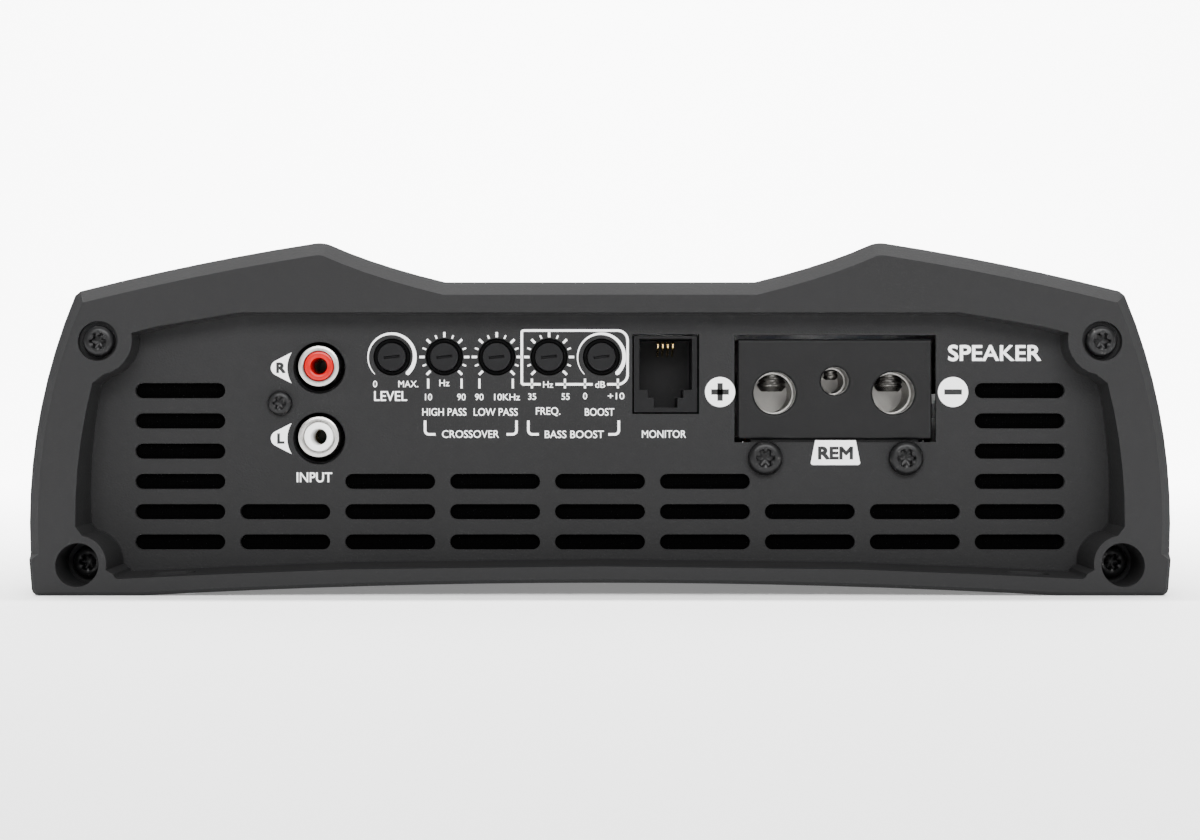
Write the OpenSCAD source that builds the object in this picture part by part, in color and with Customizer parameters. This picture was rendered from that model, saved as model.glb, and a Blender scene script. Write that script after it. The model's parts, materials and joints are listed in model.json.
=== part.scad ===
// Class D car amplifier: finned heatsink body closed by two cast end frames.
// The front end faces -Y and carries the controls, the rear end faces +Y and
// carries the supply terminals and the fans. Millimetres, Z up, origin under
// the middle of the body on the mounting surface.

/* [Overall size] */
// Width over the bulged sides of the end frames
amp_w = 226; // [222:1:236]
// Length over the lower lips of the two end frames
amp_l = 270; // [258:2:320]
// Height of the two ridges above the mounting surface
amp_h = 70.3; // [69.5:0.1:74]

/* [End frame] */
// Depth of the lower lip in front of the panel
lip_depth = 15; // [12:0.5:18]
// Depth of the brow in front of the panel
brow_depth = 3; // [2.4:0.2:5]
// Width of the bevel along the ridges
top_bevel = 2.7; // [1.5:0.1:3]
// Width of the bevel along the sides
side_bevel = 2.1; // [1:0.1:2.5]
// Distance of the two ridges from the centre line
ridge_x = 56.7; // [54:0.1:60]
// Half width of the flat valley between the ridges
valley_x = 31.2; // [26:0.2:36]
// Depth of the valley below the ridges
valley_drop = 8; // [5:0.2:8.4]
// Rise of the arch under the frame
arch_rise = 2.5; // [1:0.1:2.6]
// Length by which the frame overlaps the heatsink
skirt_l = 20; // [14:1:26]
// Wall thickness of the skirt around the heatsink
skirt_t = 2.4; // [1.8:0.1:2.6]

/* [Mounting slots] */
// Distance of the mounting slots from the centre line
mount_x = 85; // [76:0.5:90]
// Width of a mounting slot, for an M5 screw
mount_w = 5.5; // [4.5:0.1:6]
// Overall length of a mounting slot across the body
mount_l = 9; // [7:0.5:12]

/* [Front panel] */
// Thickness of the two steel end panels
panel_t = 1.5; // [1:0.1:1.6]
// Length of a vent slot
vent_l = 18.2; // [12:0.2:19]
// Width of a vent slot
vent_w = 3.05; // [2:0.05:3.4]
// Spacing of the vent columns
vent_col = 21.24; // [20:0.02:21.4]
// Spacing of the vent rows
vent_row = 6.13; // [5.2:0.01:6.2]
// Height of the lowest vent row
vent_z = 9.8; // [9.4:0.1:10.2]

/* [Controls] */
// Distance of the level control from the centre line
level_x = -42.1; // [-43:0.1:-41]
// Spacing of the five controls
pot_pitch = 10.6; // [10.2:0.1:10.8]
// Height of the control shafts
pot_z = 47.25; // [46:0.05:47.5]
// Radius of a control shaft
pot_r = 2.85; // [2.5:0.05:2.9]

/* [Input sockets] */
// Distance of the phono sockets from the centre line
rca_x = -56.8; // [-57.5:0.1:-56]
// Height of the right channel socket opening
rca_z = 45.05; // [44.6:0.05:45.5]
// Spacing of the two phono sockets
rca_pitch = 14.3; // [13.6:0.1:14.6]
// Outer radius of a socket shell, to fit a phono plug
rca_r = 4.15; // [4.1:0.05:4.2]
// Length of a socket shell in front of the panel
rca_l = 1.4; // [0.6:0.2:8]

/* [Terminals] */
// Radius of the speaker wire holes
wire_r = 4.25; // [3.6:0.05:4.3]
// Radius of the remote wire hole
remote_r = 2.8; // [2:0.1:2.9]
// Radius of the supply wire holes
supply_r = 5.2; // [4.5:0.1:5.3]

/* [Heatsink] */
// Thickness of a cooling fin
fin_t = 1.8; // [1.2:0.1:2.4]
// Spacing of the cooling fins
fin_pitch = 6.2; // [5.6:0.1:7]
// Underside of the finned deck
deck_z = 52.8; // [52.4:0.1:53.4]
// Thickness of the finned deck
deck_t = 3.7; // [3:0.1:4]

/* [Cooling] */
// Width of a square fan
fan_w = 40; // [40:1:41]
// Length of a fan along its axis
fan_l = 15; // [12:1:20]
// Number of blades on a fan rotor
blades = 7; // [5:1:9]

/* [Hidden] */
$fn = 48;

// Planes along the length, given for the front end
panel_y = -(amp_l / 2 - lip_depth);
sink_y = panel_y + panel_t;
skirt_y = panel_y + skirt_l;

// Outline of an end frame in the XZ plane
half_w = amp_w / 2;
side_r = 116;
side_z = 19;
side_x = half_w - side_r;
foot_r = 1.5;
foot_step_z = 8;
shoulder_r = 1.5;
shoulder_a = 20.45;
ridge_r = 6;
arch_x = 90;
outline_mid = [0, 32];
small_bevel = 0.7;

// Screws that hold an end frame, and how deep their heads sit in its face
upper_screw = [100.3, 50.3];
lower_screw = [102.8, 6.0];
upper_recess_r = 4;
upper_recess = 1.9;
lower_bore_r = 4.27;
lower_bore = 12;
frame_shank_r = 1.75;
head_r = 3.2;
head_h = 2.1;

// Opening of an end frame
aperture_top = 56.1;
aperture_flat_x = 72;
rim = 9.4;
draft = 0.052;
upper_boss_r = 6.8;
lower_boss_r = 5.7;
aperture_foot = [95.7, 3.2];

// Layout of the terminal blocks: x, z, bore radius, set screw radius
speaker_wires = [[35.4, 39.96, wire_r, 3], [59.5, 39.96, wire_r, 3]];
remote_wire = [47.6, 42.4, remote_r, 1.5];
supply_wires = [[34.5, 39.0, supply_r, 4], [60.5, 39.0, supply_r, 4]];
speaker_block = [27.95, 30.75, 39.3, 20.2];
supply_block = [25.5, 29.0, 44, 22];
block_face_y = panel_y + 0.6;
block_back_y = panel_y + 23;
set_screw_y = panel_y + 10;
barrel_front_y = block_face_y + 1.2;
speaker_screw_x = [33.4, 61.85];
block_screw_z = 26.8;
supply_screw_x = [30, 65];
supply_screw_z = 25;
screw_gap = 0.05;

// Monitor socket opening and body
jack_x = 13.3;
jack_z = 43.8;
jack_w = 13.5;
jack_h = 16.1;

// Boards and what they carry
base_z = 5.1;
base_t = 1.6;
board_z = 12;
board_t = 1.6;
board_top = board_z + board_t;
board_x = 96;
board_y = [-(amp_l / 2 - 35), amp_l / 2 - 35];
control_y = panel_y + 14;
spacer_at = [for (x = [-80, 0, 80]) for (y = [board_y[0] + 8, board_y[1] - 8]) [x, y]];
rail_x = 96;
rail_z = [18, 42];
transistor_y = [for (i = [-3 : 3]) i * 24];
ledge_screw_y = [for (i = [-2 : 2]) i * (amp_l - 60) / 4];
ledge_x = 95.6;

// Fans, in the coordinates of the end they sit in
fan_x = [-30, -75];
fan_z = 30;
fan_bore = 18.9;
rotor_r = 18.2;

// ---- helpers -------------------------------------------------------------

function arc(c, r, a0, a1, n) =
    [for (i = [0 : n]) c + r * [cos(a0 + (a1 - a0) * i / n), sin(a0 + (a1 - a0) * i / n)]];
function bezier(a, b, c, n) =
    [for (i = [1 : n]) let (t = i / n) pow(1 - t, 2) * a + 2 * t * (1 - t) * b + t * t * c];
function unit(v) = v / norm(v);
function reversed(v) = [for (i = [len(v) - 1 : -1 : 0]) v[i]];
function mirrored(v) = [for (p = reversed(v)) if (p[0] > 0.01) [-p[0], p[1]]];

// Outward normal of a closed anticlockwise outline at point i, lengthened at a
// corner so that an inset along it moves both edges by the same distance
function normal(v, i) =
    let (n = len(v), a = v[(i + n - 1) % n], b = v[i], c = v[(i + 1) % n],
         t = unit(unit(b - a) + unit(c - b)), stretch = 1 / (t * unit(b - a)))
    [t[1], -t[0]] * stretch;
function inset(v, d) = [for (i = [0 : len(v) - 1]) v[i] - d * normal(v, i)];

// Right half of the frame outline, from under the middle to the valley
shoulder = [side_x, side_z] + (side_r - shoulder_r) * [cos(shoulder_a), sin(shoulder_a)];
shoulder_end = shoulder + shoulder_r * [cos(75.4), sin(75.4)];
ridge_a = [80.4, 111];
ridge = [ridge_x, amp_h - ridge_r];
ridge_in = ridge + ridge_r * [cos(ridge_a[0]), sin(ridge_a[0])];
ridge_out = ridge + ridge_r * [cos(ridge_a[1]), sin(ridge_a[1])];
valley = [valley_x, amp_h - valley_drop];
foot_x = side_x + side_r * cos(asin((side_z - foot_r) / side_r)) - foot_r;
side_foot_a = -asin((side_z - foot_step_z) / side_r);
arch = [for (i = [0 : 8]) let (x = arch_x * i / 8) [x, arch_rise * (1 - pow(x / arch_x, 2))]];
side = arc([side_x, side_z], side_r, side_foot_a + 3, shoulder_a - 3, 7);
crown = concat(
    bezier(shoulder_end, (shoulder_end + ridge_in) / 2 + [0, 1.2], ridge_in, 6),
    arc(ridge, ridge_r, ridge_a[0] + 6, ridge_a[1], 4),
    bezier(ridge_out, (ridge_out + valley) / 2 + [2.4, -0.4], valley, 5));
half_outline = concat(
    arch,
    arc([foot_x, foot_r], foot_r, -90, -8, 3),
    [for (a = [side_foot_a - 0.5, side_foot_a]) [side_x, side_z] + side_r * [cos(a), sin(a)]],
    side,
    arc(shoulder, shoulder_r, shoulder_a, 75.4, 1),
    crown);

// The same outline with sharp corners, for what sits inside the frame
corner_a = (shoulder_a + 75.4) / 2;
sharp_half = concat(
    arch,
    [[foot_x + foot_r, 0]],
    side,
    [shoulder + shoulder_r / cos(75.4 - corner_a) * [cos(corner_a), sin(corner_a)]],
    crown);
inner_outline = concat(sharp_half, mirrored(sharp_half));
outline = concat(half_outline, mirrored(half_outline));

// Height of the top outline over a distance x from the centre line
top_table = [for (i = [len(half_outline) - 1 : -1 : 0])
    if (half_outline[i][1] > upper_screw[1]) half_outline[i]];
function top_z(x) = lookup(abs(x), top_table);

// Slanted front plane of an end frame
function face_y(z) = panel_y - brow_depth - (lip_depth - brow_depth) * (1 - z / amp_h);
function bevel_at(p, n) =
    p[1] < foot_step_z - 0.1 ? small_bevel :
    side_bevel + (top_bevel - side_bevel) * max(0, n[1]);

// Right half of the frame opening, on the front plane
lower_a = [98, 190];
upper_a = [166, 258];
aperture_half = concat(
    [[0, aperture_foot[1] + arch_rise], [50, aperture_foot[1] + 1.9]],
    [[76, aperture_foot[1] + 0.9]],
    arc(aperture_foot - [1.2, -1.2], 1.2, -80, -10, 3),
    reversed(arc(lower_screw, lower_boss_r, lower_a[0], lower_a[1], 7)),
    arc([side_x, side_z], side_r - rim, -3, 12.4, 5),
    reversed(arc(upper_screw, upper_boss_r, upper_a[0], upper_a[1], 7)),
    [[aperture_flat_x + 16, aperture_top - 2.7], [aperture_flat_x, aperture_top]]);
aperture = concat(aperture_half, mirrored(aperture_half));

// Closed solid through rings of equal length, each end closed from a centre
module loft(rings, ends) {
    n = len(rings[0]);
    last = len(rings) - 1;
    polyhedron(
        points = concat([for (r = rings) each r], ends),
        faces = concat(
            [for (k = [0 : last - 1]) for (i = [0 : n - 1]) let (j = (i + 1) % n)
                each [[k * n + i, (k + 1) * n + i, (k + 1) * n + j],
                      [k * n + i, (k + 1) * n + j, k * n + j]]],
            [for (i = [0 : n - 1]) [(last + 1) * n, i, (i + 1) % n]],
            [for (i = [0 : n - 1]) [(last + 1) * n + 1, last * n + (i + 1) % n, last * n + i]]));
}

// Plate in the XZ plane, y0 to y0 + t, from a flat outline
module plate(y0, t) {
    translate([0, y0 + t, 0]) rotate([90, 0, 0]) linear_extrude(height = t) children();
}
module rod_y(x, z, y0, y1, r) {
    translate([x, y1, z]) rotate([90, 0, 0]) cylinder(h = y1 - y0, r = r);
}
module rod_z(x, y, z0, z1, r) {
    translate([x, y, z0]) cylinder(h = z1 - z0, r = r);
}
module box(lo, hi) {
    translate(lo) cube(hi - lo);
}
module rear() {
    rotate([0, 0, 180]) children();
}
module both_sides() {
    children();
    mirror([1, 0, 0]) children();
}
module stadium(l, w) {
    square([l - w, w], center = true);
    for (s = [-1, 1]) translate([s * (l - w) / 2, 0]) circle(d = w, $fn = 32);
}

// Six lobed driver recess
module lobes(r) {
    circle(r = r * 0.72, $fn = 24);
    for (a = [0 : 60 : 300]) rotate(a) translate([r * 0.74, 0]) circle(r = r * 0.26, $fn = 16);
}

// Pan head screw along Z: the head stands on z = 0 and the shank points down
module pan_screw(r_head, h_head, r_shank, l_shank) {
    difference() {
        union() {
            rotate_extrude($fn = 40)
                polygon([[0, 0], [r_head, 0], [r_head, h_head * 0.45],
                         [r_head * 0.9, h_head * 0.78], [r_head * 0.68, h_head], [0, h_head]]);
            translate([0, 0, -l_shank]) cylinder(h = l_shank + 0.1, r = r_shank, $fn = 32);
        }
        translate([0, 0, h_head * 0.35]) linear_extrude(height = h_head) lobes(r_head * 0.5);
    }
}
// The same screw driven along +Y with its head seated on the plane y0
module front_screw(x, z, y0, r_head, h_head, r_shank, l_shank) {
    translate([x, y0, z]) rotate([90, 0, 0]) pan_screw(r_head, h_head, r_shank, l_shank);
}

// ---- heatsink and end frames ----------------------------------------------

deck_top = deck_z + deck_t;
sink_gap = 3;
wall_t = 3.2;
sink_r = side_r - sink_gap;
channel_r = 3.6;
channel_bore = 1.85;
plateau_x = valley_x - 1.2;
first_fin = valley_x + 2.6;
fins_per_side = floor((98 - first_fin) / fin_pitch);
access_r = 0.4;
screen_t = 0.5;

function side_arc(r, z0, z1, n) =
    arc([side_x, side_z], r, asin((z0 - side_z) / r), asin((z1 - side_z) / r), n);

module heatsink_profile() {
    shell = side_arc(sink_r, 3, deck_top, 12);
    hollow = side_arc(sink_r - wall_t, 2, deck_z, 12);
    difference() {
        union() {
            difference() {
                polygon(concat(shell, mirrored(shell)));
                polygon(concat(hollow, mirrored(hollow)));
            }
            translate([-plateau_x, deck_top - 0.1])
                square([2 * plateau_x, top_z(0) - sink_gap - deck_top + 0.1]);
            both_sides() {
                for (i = [0 : fins_per_side]) let (x = first_fin + i * fin_pitch) {
                    tip = top_z(x) - sink_gap - fin_t / 2;
                    translate([x - fin_t / 2, deck_top - 0.1]) square([fin_t, tip - deck_top + 0.1]);
                    translate([x, tip]) circle(d = fin_t, $fn = 20);
                }
                for (s = [upper_screw, lower_screw]) translate(s) circle(r = channel_r);
                translate([rail_x, rail_z[0]]) square([107.3 - rail_x, rail_z[1] - rail_z[0]]);
                translate([ledge_x - 4.2, base_z + base_t]) square([9.4, 3]);
            }
        }
        both_sides() for (s = [upper_screw, lower_screw]) translate(s) circle(r = channel_bore);
    }
}

// Holes above the set screws of one end, for a hex key
module access_holes(wires, z0) {
    for (w = wires) rod_z(w[0], set_screw_y, z0, amp_h + 1, w[3] - access_r);
}
module heatsink() {
    color("#2b2b2d") difference() {
        plate(sink_y, -2 * sink_y) heatsink_profile();
        access_holes(concat(speaker_wires, [remote_wire]), 45);
        rear() access_holes(supply_wires, 45);
        both_sides() {
            for (y = [sink_y, -sink_y]) translate([ledge_x - 5, y - screen_t - 0.1, base_z + base_t - 1])
                cube([5, 2 * (screen_t + 0.1), 5]);
            for (y = ledge_screw_y) rod_z(ledge_x, y, base_z, base_z + 8, 1.65);
            for (y = clamp_y) translate([rail_x - 1, y, clamp_z]) rotate([0, 90, 0])
                cylinder(h = 9, r = 1.65, $fn = 32);
        }
    }
}

module end_frame_blank() {
    front = [for (i = [0 : len(outline) - 1]) let (n = normal(outline, i), p = outline[i],
        q = p - bevel_at(p, n) * n) [q[0], face_y(q[1]), q[1]]];
    shoulder_ring = [for (i = [0 : len(outline) - 1]) let (p = outline[i])
        [p[0], face_y(p[1]) + bevel_at(p, normal(outline, i)), p[1]]];
    back = [for (p = outline) [p[0], skirt_y, p[1]]];
    loft([back, shoulder_ring, front],
        [[outline_mid[0], skirt_y, outline_mid[1]],
         [outline_mid[0], face_y(outline_mid[1]), outline_mid[1]]]);
}
module aperture_cutter() {
    over = 1;
    mouth = [for (p = aperture) [p[0], face_y(p[1]) - over, p[1]]];
    throat = [for (i = [0 : len(aperture) - 1]) let (p = aperture[i],
        q = p - draft * (panel_y - face_y(p[1])) * normal(aperture, i)) [q[0], panel_y + over, q[1]]];
    loft([throat, mouth],
        [[outline_mid[0], panel_y + over, outline_mid[1]],
         [outline_mid[0], face_y(outline_mid[1]) - over, outline_mid[1]]]);
}
module end_frame(wires) {
    color("#303032") difference() {
        end_frame_blank();
        aperture_cutter();
        plate(panel_y, skirt_l + 1) polygon(inset(inner_outline, skirt_t));
        access_holes(wires, 50);
        both_sides() {
            rod_y(upper_screw[0], upper_screw[1], face_y(upper_screw[1]) - 3,
                face_y(upper_screw[1]) + upper_recess, upper_recess_r);
            rod_y(lower_screw[0], lower_screw[1], face_y(lower_screw[1]) - 3,
                face_y(lower_screw[1]) + lower_bore, lower_bore_r);
            for (s = [upper_screw, lower_screw])
                rod_y(s[0], s[1], panel_y - lip_depth, panel_y + 1, frame_shank_r + 0.15);
            translate([mount_x, panel_y - lip_depth / 2, -1])
                linear_extrude(height = 10) stadium(mount_l, mount_w);
        }
    }
}
module frame_screws() {
    both_sides() {
        front_screw(upper_screw[0], upper_screw[1], face_y(upper_screw[1]) + upper_recess,
            head_r, head_h, frame_shank_r, 18);
        front_screw(lower_screw[0], lower_screw[1], face_y(lower_screw[1]) + lower_bore,
            head_r, head_h, frame_shank_r, 16);
    }
}
module front_frame() { end_frame(concat(speaker_wires, [remote_wire])); }
module rear_frame() { rear() end_frame(supply_wires); }
module front_frame_screws() { color("#1c1c1e") frame_screws(); }
module rear_frame_screws() { color("#1c1c1e") rear() frame_screws(); }

module base_plate() {
    color("#3a3a3c") difference() {
        box([-98.6, sink_y, base_z], [98.6, -sink_y, base_z + base_t]);
        both_sides() for (y = ledge_screw_y) rod_z(ledge_x, y, base_z - 1, base_z + 3, 1.7);
        for (p = spacer_at) rod_z(p[0], p[1], base_z - 1, base_z + 3, 1.7);
    }
}
module base_plate_screws() {
    color("#1c1c1e") both_sides() for (y = ledge_screw_y)
        translate([ledge_x, y, base_z]) mirror([0, 0, 1]) pan_screw(2.7, 1.8, 1.5, 4.4);
}

// ---- end panels -----------------------------------------------------------

// Rows that each vent column has, from the lowest up
front_vents = [6, 2, 3, 3, 3, 3, 2, 2, 6];
rear_vents = [0, 0, 0, 0, 0, 2, 2, 2, 6];

module vents(rows) {
    for (i = [0 : 8]) for (k = [0 : 1 : rows[i] - 1])
        translate([(i - 4) * vent_col, vent_z + k * vent_row]) stadium(vent_l, vent_w);
}
module panel_blank() {
    difference() {
        polygon(inset(inner_outline, skirt_t + 0.2));
        both_sides() for (s = [upper_screw, lower_screw]) translate(s) circle(r = 2);
    }
}
module block_opening(block) {
    gap = 0.75;
    translate([block[0] - gap, block[1] - gap]) square([block[2] + 2 * gap, block[3] + 2 * gap]);
}
module front_panel() {
    color("#38383a") plate(panel_y, panel_t) difference() {
        panel_blank();
        vents(front_vents);
        for (i = [0 : 4]) translate([level_x + i * pot_pitch, pot_z]) circle(d = 7.5);
        for (i = [0, 1]) translate([rca_x, rca_z - i * rca_pitch]) circle(r = rca_opening_r);
        translate(rca_screw_at) circle(r = 1.7, $fn = 32);
        translate([jack_x, jack_z]) square([jack_w, jack_h], center = true);
        block_opening(speaker_block);
        for (x = speaker_screw_x) translate([x, block_screw_z]) circle(r = 2);
    }
}
module fan_opening() {
    for (r = [[3, 6.4], [8.2, 11.6], [13.4, 16.8]]) difference() {
        circle(r = r[1]);
        circle(r = r[0]);
        for (a = [45, 135]) rotate(a) square([40, 2], center = true);
    }
}
module rear_panel() {
    color("#38383a") rear() plate(panel_y, panel_t) difference() {
        panel_blank();
        vents(rear_vents);
        block_opening(supply_block);
        for (x = supply_screw_x) translate([x, supply_screw_z]) circle(r = 2);
        for (x = fan_x) translate([x, fan_z]) {
            fan_opening();
            for (i = [-1, 1]) for (k = [-1, 1]) translate([i, k] * fan_hole) circle(r = 1.7, $fn = 32);
        }
        for (z = light_z) translate([light_x, z]) circle(r = 1.6, $fn = 32);
    }
}

// Thin woven screen behind the vents of one end
screen_over = 2;
module dust_screen(rows, block, screw_z) {
    plate(sink_y, screen_t) difference() {
        for (i = [0 : 8]) if (rows[i] > 0)
            translate([(i - 4.5) * vent_col - 0.01, vent_z - screen_over])
                square([vent_col + 0.02, (rows[i] - 1) * vent_row + 2 * screen_over]);
        translate([block[0] + flange_in - 0.2, screw_z - 4.3])
            square([block[2] - 2 * flange_in + 0.4, 12]);
    }
}
module dust_screens() {
    color("#141415") {
        dust_screen(front_vents, speaker_block, block_screw_z);
        rear() dust_screen(rear_vents, supply_block, supply_screw_z);
    }
}

// ---- phono sockets ----------------------------------------------------------

rca_screw_at = [-64.7, 37.9];
rca_opening_r = 5.25;
// The sockets sit a little high in their openings
shell_lift = 0.35;
recess_r = 5.0;
recess_back = panel_y + 7.6;
stub_r = 3.8;
stub_back = recess_back + 2.4;
insert_r = 3.02;
insert_back = panel_y + 7;
pin_bore = 1.6;
rca_back = control_y - 0.02;

module each_rca() {
    for (i = [0, 1]) translate([rca_x, 0, rca_z + shell_lift - i * rca_pitch]) children();
}
module rca_housing() {
    color("#202022") difference() {
        union() {
            box([rca_x - 6.2, sink_y, rca_z - rca_pitch - 6.5], [rca_x + 6.2, rca_back, rca_z + 6.5]);
            box([rca_screw_at[0] - 3.5, sink_y, rca_screw_at[1] - 4.5],
                [rca_x, sink_y + 5, rca_screw_at[1] + 4.5]);
        }
        each_rca() {
            rod_y(0, 0, sink_y - 1, recess_back, recess_r);
            rod_y(0, 0, recess_back - 1, stub_back + 0.02, stub_r + 0.05);
            rod_y(0, 0, stub_back - 1, rca_back + 1, 2.45);
        }
        rod_y(rca_screw_at[0], rca_screw_at[1], sink_y - 1, sink_y + 6, 1.55);
    }
}
module rca_shells() {
    color("#c9c9cc") each_rca() difference() {
        union() {
            rod_y(0, 0, panel_y - rca_l, recess_back, rca_r);
            rod_y(0, 0, recess_back - 1, stub_back, stub_r);
        }
        rod_y(0, 0, panel_y - rca_l - 1, stub_back + 1, insert_r + 0.03);
    }
}
module rca_insert() {
    difference() {
        rod_y(0, 0, panel_y - rca_l + 0.3, insert_back, insert_r);
        rod_y(0, 0, panel_y - rca_l - 1, insert_back + 1, pin_bore);
    }
}
module rca_contacts() {
    color("#c8a55a") each_rca() difference() {
        rod_y(0, 0, insert_back, rca_back - 0.5, 2.4);
        rod_y(0, 0, insert_back - 1, rca_back - 3, pin_bore);
    }
}
module rca_insert_right() {
    color("#d8262b") translate([rca_x, 0, rca_z + shell_lift]) rca_insert();
}
module rca_insert_left() {
    color("#f2f2f0") translate([rca_x, 0, rca_z + shell_lift - rca_pitch]) rca_insert();
}
module rca_screw() {
    color("#1c1c1e") front_screw(rca_screw_at[0], rca_screw_at[1], panel_y, 2.5, 1.6, 1.5, 6);
}

// ---- level and crossover controls ---------------------------------------------

shaft_gap = 0.08;
shaft_front = panel_y - 0.9;
shaft_back = panel_y + 9;
pot_front = panel_y + 0.3;
bushing_back = panel_y + 7;
slot_size = [3.04, 0.7, 0.5];
slot_tilt = 7;

module potentiometer_bodies() {
    color("#2f6f4f") for (i = [0 : 4]) translate([level_x + i * pot_pitch, 0, pot_z]) difference() {
        union() {
            rod_y(0, 0, pot_front, bushing_back + 0.5, 3.6);
            box([-4.8, bushing_back, -5.2], [4.8, control_y - 0.02, 5.2]);
        }
        rod_y(0, 0, pot_front - 1, shaft_back + 0.4, pot_r + shaft_gap);
    }
}
module shaft(i) {
    color("#151517") translate([level_x + i * pot_pitch, 0, pot_z]) difference() {
        rod_y(0, 0, shaft_front, shaft_back, pot_r);
        translate([0, shaft_front, 0]) rotate([0, -slot_tilt, 0])
            cube([slot_size[0], 2 * slot_size[1], slot_size[2]], center = true);
    }
}
module level_shaft() { shaft(0); }
module high_pass_shaft() { shaft(1); }
module low_pass_shaft() { shaft(2); }
module bass_frequency_shaft() { shaft(3); }
module bass_boost_shaft() { shaft(4); }

// ---- monitor socket --------------------------------------------------------

jack_front = panel_y + 0.2;
contact_pitch = 1.02;

module monitor_jack() {
    body = [jack_w - 0.6, jack_h - 0.6];
    roof = jack_z + 7.1;
    // Half width and floor of the plug way, the step and the latch way
    ways = [[5.25, jack_z - 3.2], [3.5, jack_z - 4.8], [2.3, jack_z - 6.8]];
    color("#1d1d1f") difference() {
        box([jack_x - body[0] / 2, jack_front, jack_z - body[1] / 2],
            [jack_x + body[0] / 2, control_y - 0.02, jack_z + body[1] / 2]);
        for (w = ways) box([jack_x - w[0], jack_front - 1, w[1]], [jack_x + w[0], jack_front + 11, roof]);
    }
}
module monitor_jack_contacts() {
    color("#d4af37") for (i = [-1.5 : 1.5])
        translate([jack_x + i * contact_pitch, jack_front + 2.2, jack_z + 6.8]) rotate([-20, 0, 0])
            translate([-0.22, 0, -0.5]) cube([0.44, 8, 0.45]);
}

// ---- wire terminals ----------------------------------------------------------

roof_t = 4.5;
barrel_wall = 1.6;
blind = 4;
clamp_step = 0.3;
flange_in = 2.4;

// Brass barrel: a wire hole along Y that is wider up to just before the set
// screw than under it, and a threaded hole from above
module barrel(w) {
    side = w[2] + barrel_wall;
    difference() {
        box([w[0] - side, barrel_front_y, w[1] - side], [w[0] + side, block_back_y, w[1] + w[2] + roof_t]);
        rod_y(w[0], w[1], barrel_front_y - 1, set_screw_y - w[3] - 0.2, w[2]);
        rod_y(w[0], w[1], barrel_front_y - 1, block_back_y - blind, w[2] - clamp_step);
        rod_z(w[0], set_screw_y, w[1], w[1] + w[2] + roof_t + 1, w[3] + screw_gap);
    }
}
module terminal_housing(block, wires, screw_x, screw_z) {
    c = 0.02;
    difference() {
        union() {
            box([block[0], block_face_y, block[1]],
                [block[0] + block[2], block_back_y, block[1] + block[3]]);
            box([block[0] + flange_in, sink_y, screw_z - 4],
                [block[0] + block[2] - flange_in, sink_y + 7, block[1] + 1]);
        }
        for (w = wires) let (side = w[2] + barrel_wall + c) {
            rod_y(w[0], w[1], block_face_y - 1, barrel_front_y + 1, w[2] + 0.02);
            box([w[0] - side, barrel_front_y - c, w[1] - side],
                [w[0] + side, block_back_y + 1, w[1] + w[2] + roof_t + c]);
            rod_z(w[0], set_screw_y, w[1] + w[2] + 1, block[1] + block[3] + 1, w[3] + 0.35);
        }
        for (x = screw_x) rod_y(x, screw_z, sink_y - 1, sink_y + 8, 1.85);
    }
}
// Hex socket set screw standing on its tip, centred over the wire hole
module set_screw(w, tip, l) {
    r = w[3];
    translate([w[0], set_screw_y, tip]) difference() {
        rotate_extrude($fn = 40)
            polygon([[0, 0], [r * 0.7, 0], [r, r * 0.3], [r, l - 0.3], [r - 0.3, l], [0, l]]);
        translate([0, 0, l - r]) cylinder(h = r + 1, r = r * 0.56, $fn = 6);
    }
}
module speaker_terminal_housing() {
    color("#303032") terminal_housing(speaker_block, concat(speaker_wires, [remote_wire]),
        speaker_screw_x, block_screw_z);
}
module speaker_terminal_screws() {
    color("#1c1c1e") for (x = speaker_screw_x)
        front_screw(x, block_screw_z, panel_y, 3.5, 2.2, 1.75, 8);
}
module speaker_barrels() { color("#b8b8bb") for (w = speaker_wires) barrel(w); }
module remote_barrel() { color("#b8b8bb") barrel(remote_wire); }
module speaker_positive_set_screw() { color("#29292b") set_screw(speaker_wires[0], 40.4, 8); }
module speaker_negative_set_screw() { color("#29292b") set_screw(speaker_wires[1], 40.4, 8); }
module remote_set_screw() { color("#29292b") set_screw(remote_wire, 42.8, 6.5); }
module supply_terminal_housing() {
    color("#303032") rear()
        terminal_housing(supply_block, supply_wires, supply_screw_x, supply_screw_z);
}
module supply_terminal_screws() {
    color("#1c1c1e") rear() for (x = supply_screw_x)
        front_screw(x, supply_screw_z, panel_y, 3.5, 2.2, 1.75, 8);
}
module supply_barrels() { color("#b8b8bb") rear() for (w = supply_wires) barrel(w); }
module supply_positive_set_screw() { color("#29292b") rear() set_screw(supply_wires[0], 39.3, 8.5); }
module supply_negative_set_screw() { color("#29292b") rear() set_screw(supply_wires[1], 39.3, 8.5); }
module bus_bars() {
    t = 1.5;
    color("#b87333") {
        for (w = speaker_wires) bus_bar(w, t);
        rear() for (w = supply_wires) bus_bar(w, t);
    }
}
module bus_bar(w, t) {
    box([w[0] - 5, block_back_y, board_top], [w[0] + 5, block_back_y + t, w[1] + 4]);
}

// ---- fans and status lights ---------------------------------------------------

fan_hole = 16;
light_x = 8;
light_z = [46, 39];
fan_back = sink_y + fan_l;
hub_r = 9.5;
axle_r = 1.5;

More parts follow.
